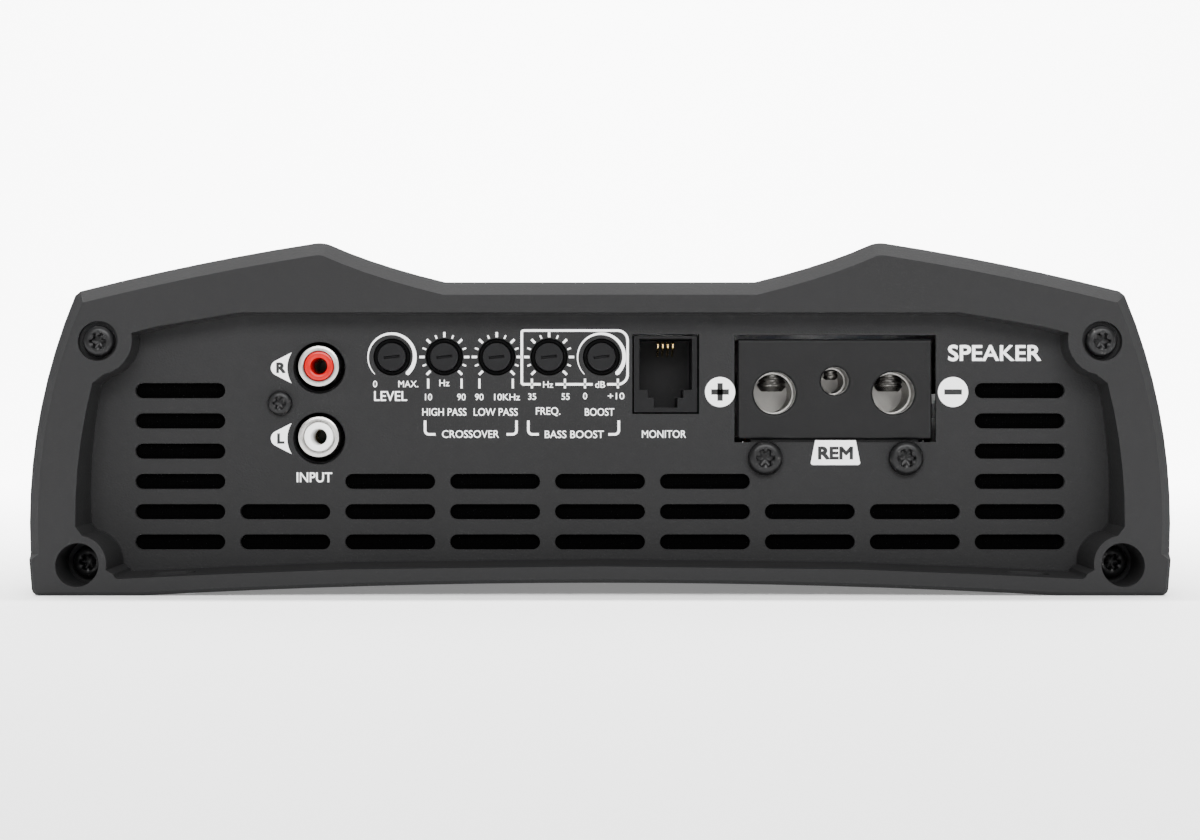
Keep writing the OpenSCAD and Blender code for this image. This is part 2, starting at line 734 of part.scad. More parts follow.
module fan_housings() {
    color("#19191b") rear() for (x = fan_x) translate([x, 0, fan_z]) difference() {
        union() {
            difference() {
                box([-fan_w / 2, sink_y, -fan_w / 2], [fan_w / 2, fan_back, fan_w / 2]);
                rod_y(0, 0, sink_y - 1, fan_back + 1, fan_bore);
            }
            rod_y(0, 0, fan_back - 3, fan_back, hub_r);
            for (a = [0 : 90 : 270]) rotate([0, a + 20, 0])
                box([hub_r - 1, fan_back - 2, -1], [fan_bore + 0.5, fan_back, 1]);
        }
        rod_y(0, 0, fan_back - 4, fan_back + 1, axle_r + 0.06);
        for (i = [-1, 1]) for (k = [-1, 1])
            rod_y(i * fan_hole, k * fan_hole, sink_y - 1, fan_back + 1, 1.65);
    }
}
module fan_screws() {
    color("#1c1c1e") rear() for (x = fan_x) for (i = [-1, 1]) for (k = [-1, 1])
        front_screw(x + i * fan_hole, fan_z + k * fan_hole, panel_y, 2.6, 1.7, 1.5, 9);
}
module fan_rotor(x) {
    y0 = sink_y + 0.8;
    y1 = fan_back - 3.6;
    color("#222224") rear() translate([x, 0, fan_z]) {
        rod_y(0, 0, y0, y1, hub_r);
        rod_y(0, 0, y1 - 1, fan_back - 0.5, axle_r);
        intersection() {
            for (b = [0 : blades - 1]) rotate([0, b * 360 / blades, 0])
                translate([hub_r - 1.5, (y0 + y1) / 2, 0]) rotate([38, 0, 0])
                    box([0, -6, -0.5], [rotor_r, 6, 0.5]);
            rod_y(0, 0, y0 + 0.4, y1 - 0.2, rotor_r);
        }
    }
}
module left_fan_rotor() { fan_rotor(fan_x[0]); }
module right_fan_rotor() { fan_rotor(fan_x[1]); }
module status_lights() {
    color("#d23b2f") rear() for (z = light_z) {
        rod_y(light_x, z, panel_y - 0.3, sink_y + 6, 1.5);
        translate([light_x, panel_y - 0.3, z]) sphere(r = 1.5, $fn = 24);
    }
}

// ---- boards and parts inside --------------------------------------------------

clamp_y = [for (i = [-3 : 2]) (i + 0.5) * 24];
clamp_z = 31;
pad_t = 0.3;
transistor = [4.5, 15.6, 20];
transistor_x = rail_x - pad_t - transistor[0];
clamp_t = 3;
caps_at = [for (x = [-76, -54, -32]) for (y = [52, 76]) [x, y]];
transformer_at = [-50, 6];
inductor_at = [38, -62];

module main_board() {
    color("#1f5f3a") difference() {
        box([-board_x, board_y[0], board_z], [board_x, board_y[1], board_top]);
        for (p = spacer_at) rod_z(p[0], p[1], board_z - 1, board_top + 1, 1.6);
    }
}
module board_spacers() {
    color("#b5a46a") for (p = spacer_at) difference() {
        rod_z(p[0], p[1], base_z + base_t, board_z, 3);
        rod_z(p[0], p[1], base_z, board_z + 1, 1.6);
    }
}
module board_screws() {
    color("#c0c0c2") for (p = spacer_at) translate([p[0], p[1], board_top]) pan_screw(2.7, 1.7, 1.5, 5);
}
module control_board() {
    color("#1f5f3a") box([rca_x - 11, control_y, 21], [jack_x + 10, control_y + 1.6, 52]);
}
module board_link() {
    color("#1a1a1c") {
        box([-36, board_y[0] + 1, board_top], [-8, board_y[0] + 4, 27]);
        for (i = [0 : 9]) box([-34 + i * 2.54, control_y + 1.6, 24.2], [-33.4 + i * 2.54, board_y[0] + 1.5, 24.8]);
    }
}
module supply_capacitors() {
    color("#26303f") for (p = caps_at) rod_z(p[0], p[1], board_top, board_top + 35, 9.5);
}

// Square section ring lying on the main board
module ring(at, z0, h, ri, ro) {
    translate([at[0], at[1], z0]) rotate_extrude() translate([ri, 0]) square([ro - ri, h]);
}
module transformer_core() { color("#5a5a5e") ring(transformer_at, board_top + 2, 14, 12, 21); }
module transformer_winding() {
    color("#b0622f") difference() {
        ring(transformer_at, board_top, 18, 10, 23);
        ring(transformer_at, board_top + 2, 14, 12, 21);
    }
}
module inductor_core() { color("#5a5a5e") ring(inductor_at, board_top + 1.6, 12, 8, 15); }
module inductor_winding() {
    color("#b0622f") difference() {
        ring(inductor_at, board_top, 15.2, 6.4, 16.6);
        ring(inductor_at, board_top + 1.6, 12, 8, 15);
    }
}
module power_transistors() {
    color("#202022") both_sides() for (y = transistor_y) {
        box([transistor_x, y - transistor[1] / 2, 19],
            [transistor_x + transistor[0], y + transistor[1] / 2, 19 + transistor[2]]);
        for (i = [-1 : 1]) box([transistor_x + 1.8, y + i * 5.4 - 0.6, board_top],
            [transistor_x + 2.6, y + i * 5.4 + 0.6, 19.2]);
    }
}
module thermal_pads() {
    color("#8d9aa5") both_sides() for (y = transistor_y)
        box([rail_x - pad_t, y - 8.5, 18.2], [rail_x, y + 8.5, 40]);
}
module transistor_clamps() {
    color("#9a9a9d") both_sides() difference() {
        box([transistor_x - clamp_t, -82, clamp_z - 4], [transistor_x, 82, clamp_z + 4]);
        for (y = clamp_y) translate([transistor_x - 10, y, clamp_z]) rotate([0, 90, 0])
            cylinder(h = 20, r = 1.65, $fn = 32);
    }
}
module clamp_screws() {
    color("#1c1c1e") both_sides() for (y = clamp_y)
        translate([transistor_x - clamp_t, y, clamp_z]) rotate([0, -90, 0]) pan_screw(2.7, 1.7, 1.5, 14);
}

heatsink();
base_plate();
base_plate_screws();
front_frame();
rear_frame();
front_frame_screws();
rear_frame_screws();
front_panel();
rear_panel();
rca_housing();
rca_shells();
rca_insert_right();
rca_insert_left();
rca_contacts();
rca_screw();
potentiometer_bodies();
level_shaft();
high_pass_shaft();
low_pass_shaft();
bass_frequency_shaft();
bass_boost_shaft();
monitor_jack();
monitor_jack_contacts();
speaker_terminal_housing();
speaker_terminal_screws();
speaker_barrels();
remote_barrel();
speaker_positive_set_screw();
speaker_negative_set_screw();
remote_set_screw();
supply_terminal_housing();
supply_terminal_screws();
supply_barrels();
supply_positive_set_screw();
supply_negative_set_screw();
fan_housings();
fan_screws();
left_fan_rotor();
right_fan_rotor();
status_lights();
main_board();
board_spacers();
board_screws();
control_board();
board_link();
supply_capacitors();
transformer_core();
transformer_winding();
inductor_core();
inductor_winding();
power_transistors();
thermal_pads();
transistor_clamps();
clamp_screws();
bus_bars();
dust_screens();
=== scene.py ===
"""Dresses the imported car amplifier: refined castings and panels, legends, sockets, fans and boards.

Run as a script. Every length is in metres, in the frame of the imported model: +Z up, the control end
faces -Y, and the origin is under the middle of the body.
"""

import json
import math

import bmesh
import bpy
import numpy as np
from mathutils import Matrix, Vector

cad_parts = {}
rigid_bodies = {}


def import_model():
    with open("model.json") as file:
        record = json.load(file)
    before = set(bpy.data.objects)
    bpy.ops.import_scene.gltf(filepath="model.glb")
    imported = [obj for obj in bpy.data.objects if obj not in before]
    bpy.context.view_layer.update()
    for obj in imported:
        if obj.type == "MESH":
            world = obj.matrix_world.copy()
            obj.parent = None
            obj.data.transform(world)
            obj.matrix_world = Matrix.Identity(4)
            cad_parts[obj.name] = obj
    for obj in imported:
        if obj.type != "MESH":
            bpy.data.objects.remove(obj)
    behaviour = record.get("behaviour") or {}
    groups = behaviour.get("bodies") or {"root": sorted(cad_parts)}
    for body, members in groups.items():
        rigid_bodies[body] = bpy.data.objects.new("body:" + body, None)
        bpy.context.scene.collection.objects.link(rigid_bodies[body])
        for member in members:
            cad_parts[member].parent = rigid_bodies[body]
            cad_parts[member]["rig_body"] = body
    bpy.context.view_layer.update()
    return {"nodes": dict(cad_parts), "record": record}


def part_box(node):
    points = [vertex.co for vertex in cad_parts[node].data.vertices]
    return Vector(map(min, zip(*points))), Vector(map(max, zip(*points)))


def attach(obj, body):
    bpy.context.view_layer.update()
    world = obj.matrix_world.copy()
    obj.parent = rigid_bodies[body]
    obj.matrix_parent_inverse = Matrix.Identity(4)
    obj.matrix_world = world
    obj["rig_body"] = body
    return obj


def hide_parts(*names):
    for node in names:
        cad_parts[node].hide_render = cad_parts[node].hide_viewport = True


bl_info = {
    "name": "Car Amplifier",
    "version": (1, 0, 0),
    "blender": (4, 5, 0),
    "location": "3D View > Sidebar > Amplifier",
    "description": "Builds the finishes and the fine pieces of a car amplifier around its frame",
    "category": "Add Mesh",
}

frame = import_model()
MM = 0.001
# Capital height of the built-in typeface for a size of one
CAPITAL = 0.682
EYE = (0, -0.6, 0.0345)
# Angle between faces from which an edge counts as sharp and is rounded, in degrees
SHARP = 28


# ---- places taken from the frame ----


def middle(node):
    """Centre of a node's box."""
    low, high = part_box(node)
    return (low + high) / 2


PANEL_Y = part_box("front_panel")[0].y
CONTROLS = ["level", "high_pass", "low_pass", "bass_frequency", "bass_boost"]
CONTROL_AT = [middle(name + "_shaft") for name in CONTROLS]
RIGHT_IN = middle("rca_insert_right")
LEFT_IN = middle("rca_insert_left")


# ---- properties ----


def colour(name, default, description):
    """A colour property in linear light."""
    return bpy.props.FloatVectorProperty(
        name=name, description=description, subtype="COLOR", size=3, min=0, max=1, default=default
    )


def length(name, default, description):
    """A length property."""
    return bpy.props.FloatProperty(
        name=name, description=description, default=default, min=0, unit="LENGTH", precision=5
    )


class AmpColours(bpy.types.PropertyGroup):
    """Colours of the finishes."""

    casting: colour("Casting", (0.0188, 0.0188, 0.0192), "Coating of the two end frames")
    panel: colour("Panel", (0.0185, 0.0185, 0.0189), "Powder coat of the end panels")
    heatsink: colour("Heatsink", (0.009, 0.009, 0.0095), "Anodised finish of the heatsink")
    moulding: colour("Moulding", (0.0035, 0.0035, 0.0038), "Black moulded plastic")
    terminal: colour("Terminal", (0.006, 0.006, 0.0063), "Plastic of the terminal blocks")
    screw: colour("Screw", (0.008, 0.008, 0.0084), "Black zinc of the screws")
    print_white: colour("Print", (0.95, 0.95, 0.95), "Ink of the legends")
    red: colour("Red", (0.42, 0.0, 0.001), "Insert of the right input")
    white: colour("White", (0.9, 0.9, 0.89), "Insert of the left input")
    nickel: colour("Nickel", (0.5, 0.49, 0.47), "Plated terminals and sockets")
    gold: colour("Gold", (0.83, 0.6, 0.24), "Plated contacts")
    copper: colour("Copper", (0.34, 0.13, 0.05), "Bus bars and windings")
    # Dark green solder mask, darkened further as painted shade for the inside of the case seen through the
    # vent slots
    board: colour("Board", (0.006, 0.02, 0.012), "Solder mask of the boards")
    floor: colour("Floor", (0.93, 0.93, 0.93), "Floor and backdrop")


class AmpSizes(bpy.types.PropertyGroup):
    """Sizes of the details that the frame doesn't give."""

    casting_edge: length("Casting edge", 0.45 * MM, "Rounding of the edges of the castings")
    sheet_edge: length("Sheet edge", 0.2 * MM, "Rounding of the cut edges of the sheet parts")
    plastic_edge: length("Plastic edge", 0.3 * MM, "Rounding of moulded edges")
    ink: length("Ink", 0.025 * MM, "Thickness of the printed legends")
    stroke: length("Stroke", 0.5 * MM, "Width of the printed lines")
    small_text: length("Small text", 1.28 * MM, "Capital height of the figures")
    name_text: length("Name text", 1.48 * MM, "Capital height of the names of the controls")
    large_text: length("Large text", 1.92 * MM, "Capital height of the level and input legends")
    speaker_text: length("Speaker text", 3.0 * MM, "Capital height of the speaker legend")
    thread_pitch: length("Thread pitch", 1.0 * MM, "Pitch of the set screws")
    lens: bpy.props.FloatProperty(
        name="Lens", description="Focal length of the camera in millimetres", default=71.15
    )


# ---- shader expressions ----


class Val:
    """A shader socket that takes part in arithmetic: each operation adds a Math node."""

    def __init__(self, paint, socket):
        self.paint = paint
        self.socket = socket

    def __add__(self, other):
        return self.paint.math("ADD", self, other)

    def __sub__(self, other):
        return self.paint.math("SUBTRACT", self, other)

    def __rsub__(self, other):
        return self.paint.math("SUBTRACT", other, self)

    def __mul__(self, other):
        return self.paint.math("MULTIPLY", self, other)

    def __truediv__(self, other):
        return self.paint.math("DIVIDE", self, other)

    __radd__ = __add__
    __rmul__ = __mul__


class Paint:
    """One material. Its methods add nodes and return sockets ready for arithmetic."""

    def __init__(self, name, **uniform):
        self.material = bpy.data.materials.new(name)
        self.material.use_nodes = True
        self.tree = self.material.node_tree
        self.shader = self.tree.nodes["Principled BSDF"]
        self.place = self.node("ShaderNodeTexCoord").outputs["Object"]
        for socket, value in uniform.items():
            self.feed(self.shader.inputs[socket.replace("_", " ")], value)

    def feed(self, socket, value):
        """Links or sets one socket."""
        if isinstance(value, Val):
            value = value.socket
        if isinstance(value, bpy.types.NodeSocket):
            self.tree.links.new(value, socket)
        elif socket.type == "RGBA" and len(value) == 3:
            socket.default_value = (*value, 1)
        else:
            socket.default_value = value

    def node(self, kind, settings=None, **inputs):
        """Adds a node, sets its settings first and then its sockets, and returns it."""
        made = self.tree.nodes.new(kind)
        for key, value in (settings or {}).items():
            if key == "stops":
                ramp = made.color_ramp.elements
                while len(ramp) < len(value):
                    ramp.new(1)
                for element, (at, grey) in zip(ramp, value):
                    element.position = at
                    element.color = (grey, grey, grey, 1)
            else:
                setattr(made, key, value)
        for key, value in inputs.items():
            name = key.replace("_", " ")
            socket = made.inputs[int(key[1:])] if key[1:].isdigit() else made.inputs[name]
            self.feed(socket, value)
        return made

    def math(self, operation, *values):
        """A Math node on two or three values."""
        sockets = {f"n{i}": value for i, value in enumerate(values)}
        made = self.node("ShaderNodeMath", {"operation": operation}, **sockets)
        return Val(self, made.outputs[0])

    def noise(self, size, detail=2.0, stretch=None):
        """Noise with features of about that size in metres, between 0 and 1."""
        place = self.place
        if stretch:
            place = self.node("ShaderNodeMapping", None, Vector=place, Scale=stretch).outputs[0]
        made = self.node("ShaderNodeTexNoise", None, Vector=place, Scale=1 / size, Detail=detail)
        return Val(self, made.outputs["Fac"])

    def cells(self, size):
        """Distance to the nearest of points scattered about that far apart."""
        made = self.node("ShaderNodeTexVoronoi", None, Vector=self.place, Scale=1 / size)
        return Val(self, made.outputs["Distance"])

    def axis(self, letter):
        """One coordinate of the object."""
        split = self.node("ShaderNodeSeparateXYZ", None, Vector=self.place)
        return Val(self, split.outputs[letter])

    def ramp(self, value, *stops):
        """A grey ramp through (position, value) stops."""
        made = self.node("ShaderNodeValToRGB", {"stops": stops}, Fac=value)
        return Val(self, made.outputs["Color"])

    def mix(self, factor, first, second):
        """A colour between two, for the Base Color."""
        made = self.node("ShaderNodeMix", {"data_type": "RGBA"}, Factor=factor, n6=first, n7=second)
        return made.outputs[2]

    def bump(self, height, depth):
        """Sets the normal from a height between 0 and 1 that stands for that depth."""
        made = self.node("ShaderNodeBump", None, Height=height, Distance=depth, Strength=1.0)
        self.feed(self.shader.inputs["Normal"], made.outputs[0])

    def colour(self, value):
        """Sets the base colour."""
        self.feed(self.shader.inputs["Base Color"], value)

    def rough(self, value):
        """Sets the roughness."""
        self.feed(self.shader.inputs["Roughness"], value)

    def metallic(self, value):
        """Sets how metallic it is."""
        self.feed(self.shader.inputs["Metallic"], value)


def shade(base, factor):
    """A colour made lighter or darker."""
    return tuple(min(1.0, channel * factor) for channel in base)


# ---- finishes ----


def coating(name, base, grain, depth, roughness, spread):
    """Powder coat: a pebbled grain over slow mottling, with tiny darker pits between the pebbles."""
    paint = Paint(name, Specular_IOR_Level=0.05)
    pebbles = paint.cells(grain)
    fine = paint.noise(grain * 0.7, 3.0)
    slow = paint.noise(0.022, 2.0)
    height = pebbles * 0.65 + fine * 0.5
    paint.colour(paint.mix(fine * 0.6 + slow * 0.4, shade(base, 1 - spread), shade(base, 1 + spread)))
    paint.rough(slow * 0.1 + fine * 0.14 + (roughness - 0.12))
    paint.bump(height, depth)
    return paint.material


def moulded(name, base, roughness, grain=0.0004, depth=0.00002, gloss=0.1):
    """Moulded plastic: a fine spark-eroded grain and faint flow mottling."""
    paint = Paint(name, Specular_IOR_Level=gloss)
    fine = paint.noise(grain, 3.0)
    slow = paint.noise(0.006, 2.0)
    paint.colour(paint.mix(slow, shade(base, 0.86), shade(base, 1.14)))
    paint.rough(fine * 0.12 + slow * 0.08 + (roughness - 0.1))
    paint.bump(fine, depth)
    return paint.material


def glossy(name, base, roughness=0.2):
    """Gloss moulding: nearly even colour with a faint long wave in the surface."""
    paint = Paint(name, Specular_IOR_Level=0.22)
    slow = paint.noise(0.003, 2.0)
    paint.colour(paint.mix(slow, shade(base, 0.9), shade(base, 1.06)))
    paint.rough(slow * 0.12 + (roughness - 0.05))
    paint.bump(slow, 0.00002)
    return paint.material


def plated(name, base, roughness, scratch=(1, 1, 1)):
    """Plated or turned metal: fine tool marks stretched along one way and cloudy tarnish."""
    paint = Paint(name, Metallic=1.0)
    marks = paint.noise(0.00025, 2.0, scratch)
    cloud = paint.noise(0.004, 3.0)
    paint.colour(paint.mix(cloud, shade(base, 0.78), shade(base, 1.08)))
    paint.rough(marks * 0.16 + cloud * 0.12 + (roughness - 0.14))
    paint.bump(marks, 0.000008)
    return paint.material


def black_zinc(name, base):
    """Blackened steel: dark plate that thins to bare metal in small rubbed spots."""
    paint = Paint(name, Specular_IOR_Level=0.25)
    rubbed = paint.ramp(paint.noise(0.0011, 4.0), (0.62, 0.0), (0.74, 1.0))
    fine = paint.noise(0.0003, 3.0)
    paint.colour(paint.mix(rubbed * 0.45, base, (0.16, 0.155, 0.15)))
    paint.metallic(rubbed * 0.4 + 0.35)
    paint.rough(fine * 0.16 + 0.26)
    paint.bump(fine, 0.00001)
    return paint.material


def anodised(name, base):
    """Extruded and anodised aluminium: die lines that run along the length."""
    paint = Paint(name, Specular_IOR_Level=0.5)
    lines = paint.noise(0.00035, 3.0, (1, 0.012, 1))
    slow = paint.noise(0.03, 2.0)
    paint.colour(paint.mix(lines * 0.6 + slow * 0.4, shade(base, 0.75), shade(base, 1.35)))
    paint.metallic(slow * 0.1 + 0.25)
    paint.rough(lines * 0.16 + slow * 0.06 + 0.3)
    paint.bump(lines, 0.000018)
    return paint.material


def solder_mask(name, base):
    """Circuit board: copper tracks raised under a green mask, as broken lines on a square grid."""
    paint = Paint(name, Specular_IOR_Level=0.15)
    pitch = 0.0026
    across = paint.math("FRACT", paint.axis("X") / pitch)
    along = paint.math("FRACT", paint.axis("Y") / pitch)
    patch = paint.ramp(paint.noise(0.007, 1.0), (0.48, 0.0), (0.5, 1.0))
    track_x = paint.math("LESS_THAN", across, 0.4)
    track_y = paint.math("LESS_THAN", along, 0.4)
    tracks = patch * track_x + (1 - patch) * track_y
    paint.colour(paint.mix(tracks, shade(base, 0.7), shade(base, 1.7)))
    paint.rough(tracks * 0.08 + 0.24)
    paint.bump(tracks, 0.00004)
    return paint.material


def enamelled(name, base):
    """Enamelled copper wire: amber varnish with slow changes of tone."""
    paint = Paint(name, Metallic=0.75, Coat_Weight=0.5, Coat_Roughness=0.12)
    tone = paint.noise(0.003, 3.0)
    paint.colour(paint.mix(tone, shade(base, 0.6), shade(base, 1.25)))
    paint.rough(tone * 0.16 + 0.2)
    return paint.material


def woven(name, base):
    """Fine woven screen: threads both ways that rise and fall as sines of the place."""
    paint = Paint(name, Specular_IOR_Level=0.02)
    turns = 12000  # radians per metre: a thread about every half millimetre
    warp = paint.math("SINE", paint.axis("X") * turns)
    weft = paint.math("SINE", paint.axis("Z") * turns)
    threads = paint.math("MAXIMUM", warp, weft) * 0.5 + 0.5
    paint.colour(paint.mix(threads, shade(base, 0.5), shade(base, 1.3)))
    paint.rough(threads * 0.1 + 0.8)
    paint.bump(threads, 0.00008)
    return paint.material


def ink(name, base):
    """Screen printed ink: faint pinholes and a slightly uneven edge of tone."""
    paint = Paint(name, Specular_IOR_Level=0.3)
    fine = paint.noise(0.00025, 3.0)
    paint.colour(paint.mix(fine, shade(base, 0.93), shade(base, 1.0)))
    paint.rough(fine * 0.1 + 0.5)
    paint.bump(fine, 0.000006)
    return paint.material


def studio_floor(name, base):
    """Matt paper floor."""
    paint = Paint(name, Specular_IOR_Level=0.02, Emission_Strength=0.25)
    slow = paint.noise(0.4, 2.0)
    paint.colour(paint.mix(slow, shade(base, 0.985), shade(base, 1.0)))
    paint.rough(slow * 0.05 + 0.85)
    return paint.material


# ---- meshes ----


def settle(piece, body, slot, nodes=(), material=None):
    """Ties a finished piece to its body, its finish and the nodes that it stands for."""
    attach(piece, body)
    if nodes:
        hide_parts(*nodes)
    if not piece.data.materials:
        piece.data.materials.append(material or finish(slot))
    return piece


def solid(name, points, faces, smooth=35, material=None):
    """A mesh object from points and faces: doubles are merged, and each closed part is turned outwards."""
    mesh = bpy.data.meshes.new(name)
    mesh.from_pydata(np.asarray(points).reshape(-1, 3).tolist(), [], faces)
    work = bmesh.new()
    work.from_mesh(mesh)
    bmesh.ops.remove_doubles(work, verts=work.verts, dist=1e-7)
    bmesh.ops.recalc_face_normals(work, faces=work.faces)
    work.to_mesh(mesh)
    work.free()
    mesh.shade_smooth()
    mesh.set_sharp_from_angle(angle=math.radians(smooth))
    piece = bpy.data.objects.new(name, mesh)
    bpy.context.collection.objects.link(piece)
    if material:
        mesh.materials.append(material)
    return piece


def joined(parts):
    """Points and faces of several (points, faces) parts as one."""
    points, faces, start = [], [], 0
    for part_points, part_faces in parts:
        part_points = np.asarray(part_points).reshape(-1, 3)
        points.append(part_points)
        faces += [tuple(corner + start for corner in face) for face in part_faces]
        start += len(part_points)
    return np.concatenate(points), faces


def skin(rings, closed=False):
    """Points and faces of a grid of rings: each ring is closed, and the rings follow each other.

    Quad (i, j) joins points j and j + 1 of rings i and i + 1. The row of rings is closed into a loop, or
    its two ends are covered by one face each.
    """
    rings = np.asarray(rings, float)
    count, around = rings.shape[:2]
    i, j = np.meshgrid(np.arange(count if closed else count - 1), np.arange(around), indexing="ij")
    after, beside = (i + 1) % count, (j + 1) % around
    quads = np.stack([i * around + j, i * around + beside, after * around + beside, after * around + j], -1)
    faces = quads.reshape(-1, 4).tolist()
    if not closed:
        faces.append(list(range(around)))
        faces.append(list(range((count - 1) * around, count * around)))
    return rings.reshape(-1, 3), faces


def turned(profile, at, way, around=48, loop=False):
    """A turned part: ring k has radius r(angle) and height h(angle), from row k of the profile.

    The point at an angle is at + r (cos angle, sin angle) across the way it faces, and h along that way.
    A row is (r, h), where either may be a function of the angle. The profile starts and ends on the axis,
    or for a part with a hole it is a loop.
    """
    angle = np.linspace(0, 2 * np.pi, around, endpoint=False)
    way = Vector(way).normalized()
    side = way.orthogonal().normalized() if abs(way.y) < 0.5 else Vector((1, 0, 0))
    across = np.array([side, way.cross(side)])
    rings = []
    for r, h in profile:
        r = r(angle) if callable(r) else np.full(around, float(r))
        h = h(angle) if callable(h) else np.full(around, float(h))
        flat = np.stack([r * np.cos(angle), r * np.sin(angle)], -1) @ across
        rings.append(np.array(at) + flat + h[:, None] * np.array(way))
    return skin(rings, loop)


def round_part(points, axis):
    """Centre line, radius, and low and high end of a round solid that lies along Y or Z."""
    low, high = points.min(0), points.max(0)
    return (low + high) / 2 * (np.arange(3) != axis), (high[0] - low[0]) / 2, low[axis], high[axis]


def corners(node):
    """The two corners of a node's box as rows."""
    return np.array([tuple(corner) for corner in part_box(node)])


def islands(node):
    """The points of each separate solid of a node, found by spreading the lowest label over each triangle."""
    mesh = frame["nodes"][node].data
    points = np.zeros(len(mesh.vertices) * 3)
    mesh.vertices.foreach_get("co", points)
    points = points.reshape(-1, 3)
    _, label = np.unique(np.round(points / 2e-6).astype(np.int64), axis=0, return_inverse=True)
    label = label.ravel()
    corners = np.zeros(len(mesh.loops), np.int64)
    mesh.loops.foreach_get("vertex_index", corners)
    triangles = label[corners].reshape(-1, 3)
    name = np.arange(label.max() + 1)
    while True:
        low = name[triangles].min(1)
        new = name.copy()
        np.minimum.at(new, triangles.ravel(), np.repeat(low, 3))
        new = new[new]
        if (new == name).all():
            break
        name = new
    return [points[name[label] == value] for value in np.unique(name)]


def refine(node, edge, segments=2, joint=0.6, material=None, clamp=True):
    """A node's own shape with its triangles merged into whole faces and its edges rounded."""
    source = frame["nodes"][node]
    mesh = source.data.copy()
    mesh.materials.clear()
    work = bmesh.new()
    work.from_mesh(mesh)
    bmesh.ops.remove_doubles(work, verts=work.verts, dist=2e-6)
    bmesh.ops.dissolve_limit(
        work, angle_limit=math.radians(joint), verts=work.verts, edges=work.edges, delimit={"NORMAL"}
    )
    work.to_mesh(mesh)
    work.free()
    mesh.shade_smooth()
    piece = bpy.data.objects.new(node + "_finished", mesh)
    bpy.context.collection.objects.link(piece)
    bevel = piece.modifiers.new("edges", "BEVEL")
    bevel.width = edge
    bevel.segments = segments
    bevel.limit_method = "ANGLE"
    bevel.angle_limit = math.radians(SHARP)
    bevel.use_clamp_overlap = clamp
    piece.modifiers.new("normals", "WEIGHTED_NORMAL").keep_sharp = False
    mesh.set_sharp_from_angle(angle=math.radians(180))
    return settle(piece, source["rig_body"], SLOT_OF[node], [node], material)


# ---- finishes by slot ----

SLOT_OF = {part["node"]: part["material_slot"] for part in frame["record"]["subparts"]}


def stand_in(node, parts, smooth, material=None):
    """One piece made of closed parts, in the place of a node of the frame."""
    piece = solid(node + "_finished", *joined(parts), smooth)
    return settle(piece, frame["nodes"][node]["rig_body"], SLOT_OF[node], [node], material)


def finish(slot):
    """The material of a slot, made at its first use."""
    found = bpy.data.materials.get("amp_" + slot)
    if found:
        return found
    shades = bpy.context.scene.amp_colours
    name = "amp_" + slot
    makers = {
        "heatsink": lambda: anodised(name, shades.heatsink),
        "end_frame": lambda: coating(name, shades.casting, 0.00055, 0.00003, 0.6, 0.05),
        "panel": lambda: coating(name, shades.panel, 0.00042, 0.00007, 0.56, 0.2),
        "screw": lambda: black_zinc(name, shades.screw),
        "black_plastic": lambda: moulded(name, shades.moulding, 0.5, gloss=0.06),
        "terminal_plastic": lambda: moulded(name, shades.terminal, 0.46, 0.0005, 0.00003, gloss=0.13),
        "red_plastic": lambda: glossy(name, shades.red),
        "white_plastic": lambda: glossy(name, shades.white),
        "shaft": lambda: moulded(name, shade(shades.moulding, 1.7), 0.42, 0.0003, 0.000012),
        "potentiometer": lambda: moulded(name, shade(shades.moulding, 0.4), 0.6, gloss=0.03),
        # The dust screen behind the vent slots is made almost black: painted shade that stands in for the
        # shadow inside the case
        "dust_screen": lambda: woven(name, shade(shades.moulding, 0.12)),
        "nickel": lambda: plated(name, shades.nickel, 0.3, (1, 0.1, 1)),
        "gold": lambda: plated(name, shades.gold, 0.24, (1, 0.15, 1)),
        "brass": lambda: plated(name, (0.72, 0.5, 0.22), 0.34, (1, 1, 0.2)),
        "copper": lambda: enamelled(name, shades.copper),
        "fan_plastic": lambda: moulded(name, shades.moulding, 0.4, 0.0007, 0.00003),
        "light": lambda: glossy(name, shade(shades.red, 0.75), 0.14),
        "circuit_board": lambda: solder_mask(name, shades.board),
        "capacitor_sleeve": lambda: glossy(name, (0.012, 0.02, 0.05), 0.3),
        "ferrite": lambda: moulded(name, (0.06, 0.06, 0.066), 0.6, 0.0008, 0.00006),
        "thermal_pad": lambda: moulded(name, (0.1, 0.12, 0.13), 0.7, 0.0006, 0.00003),
        "zinc": lambda: plated(name, (0.19, 0.195, 0.2), 0.5, (0.1, 1, 1)),
        "zinc_screw": lambda: plated(name, (0.2, 0.2, 0.205), 0.34, (1, 1, 0.3)),
    }
    return makers[slot]()


# ---- stage ----


def soft_light(name, at, target, size, power):
    """A large square area light that looks at a point."""
    data = bpy.data.lights.new(name, "AREA")
    data.shape = "RECTANGLE"
    data.size, data.size_y = size
    data.energy = power
    lamp = bpy.data.objects.new(name, data)
    bpy.context.collection.objects.link(lamp)
    lamp.location = at
    lamp.rotation_euler = (Vector(target) - Vector(at)).to_track_quat("-Z", "Y").to_euler()


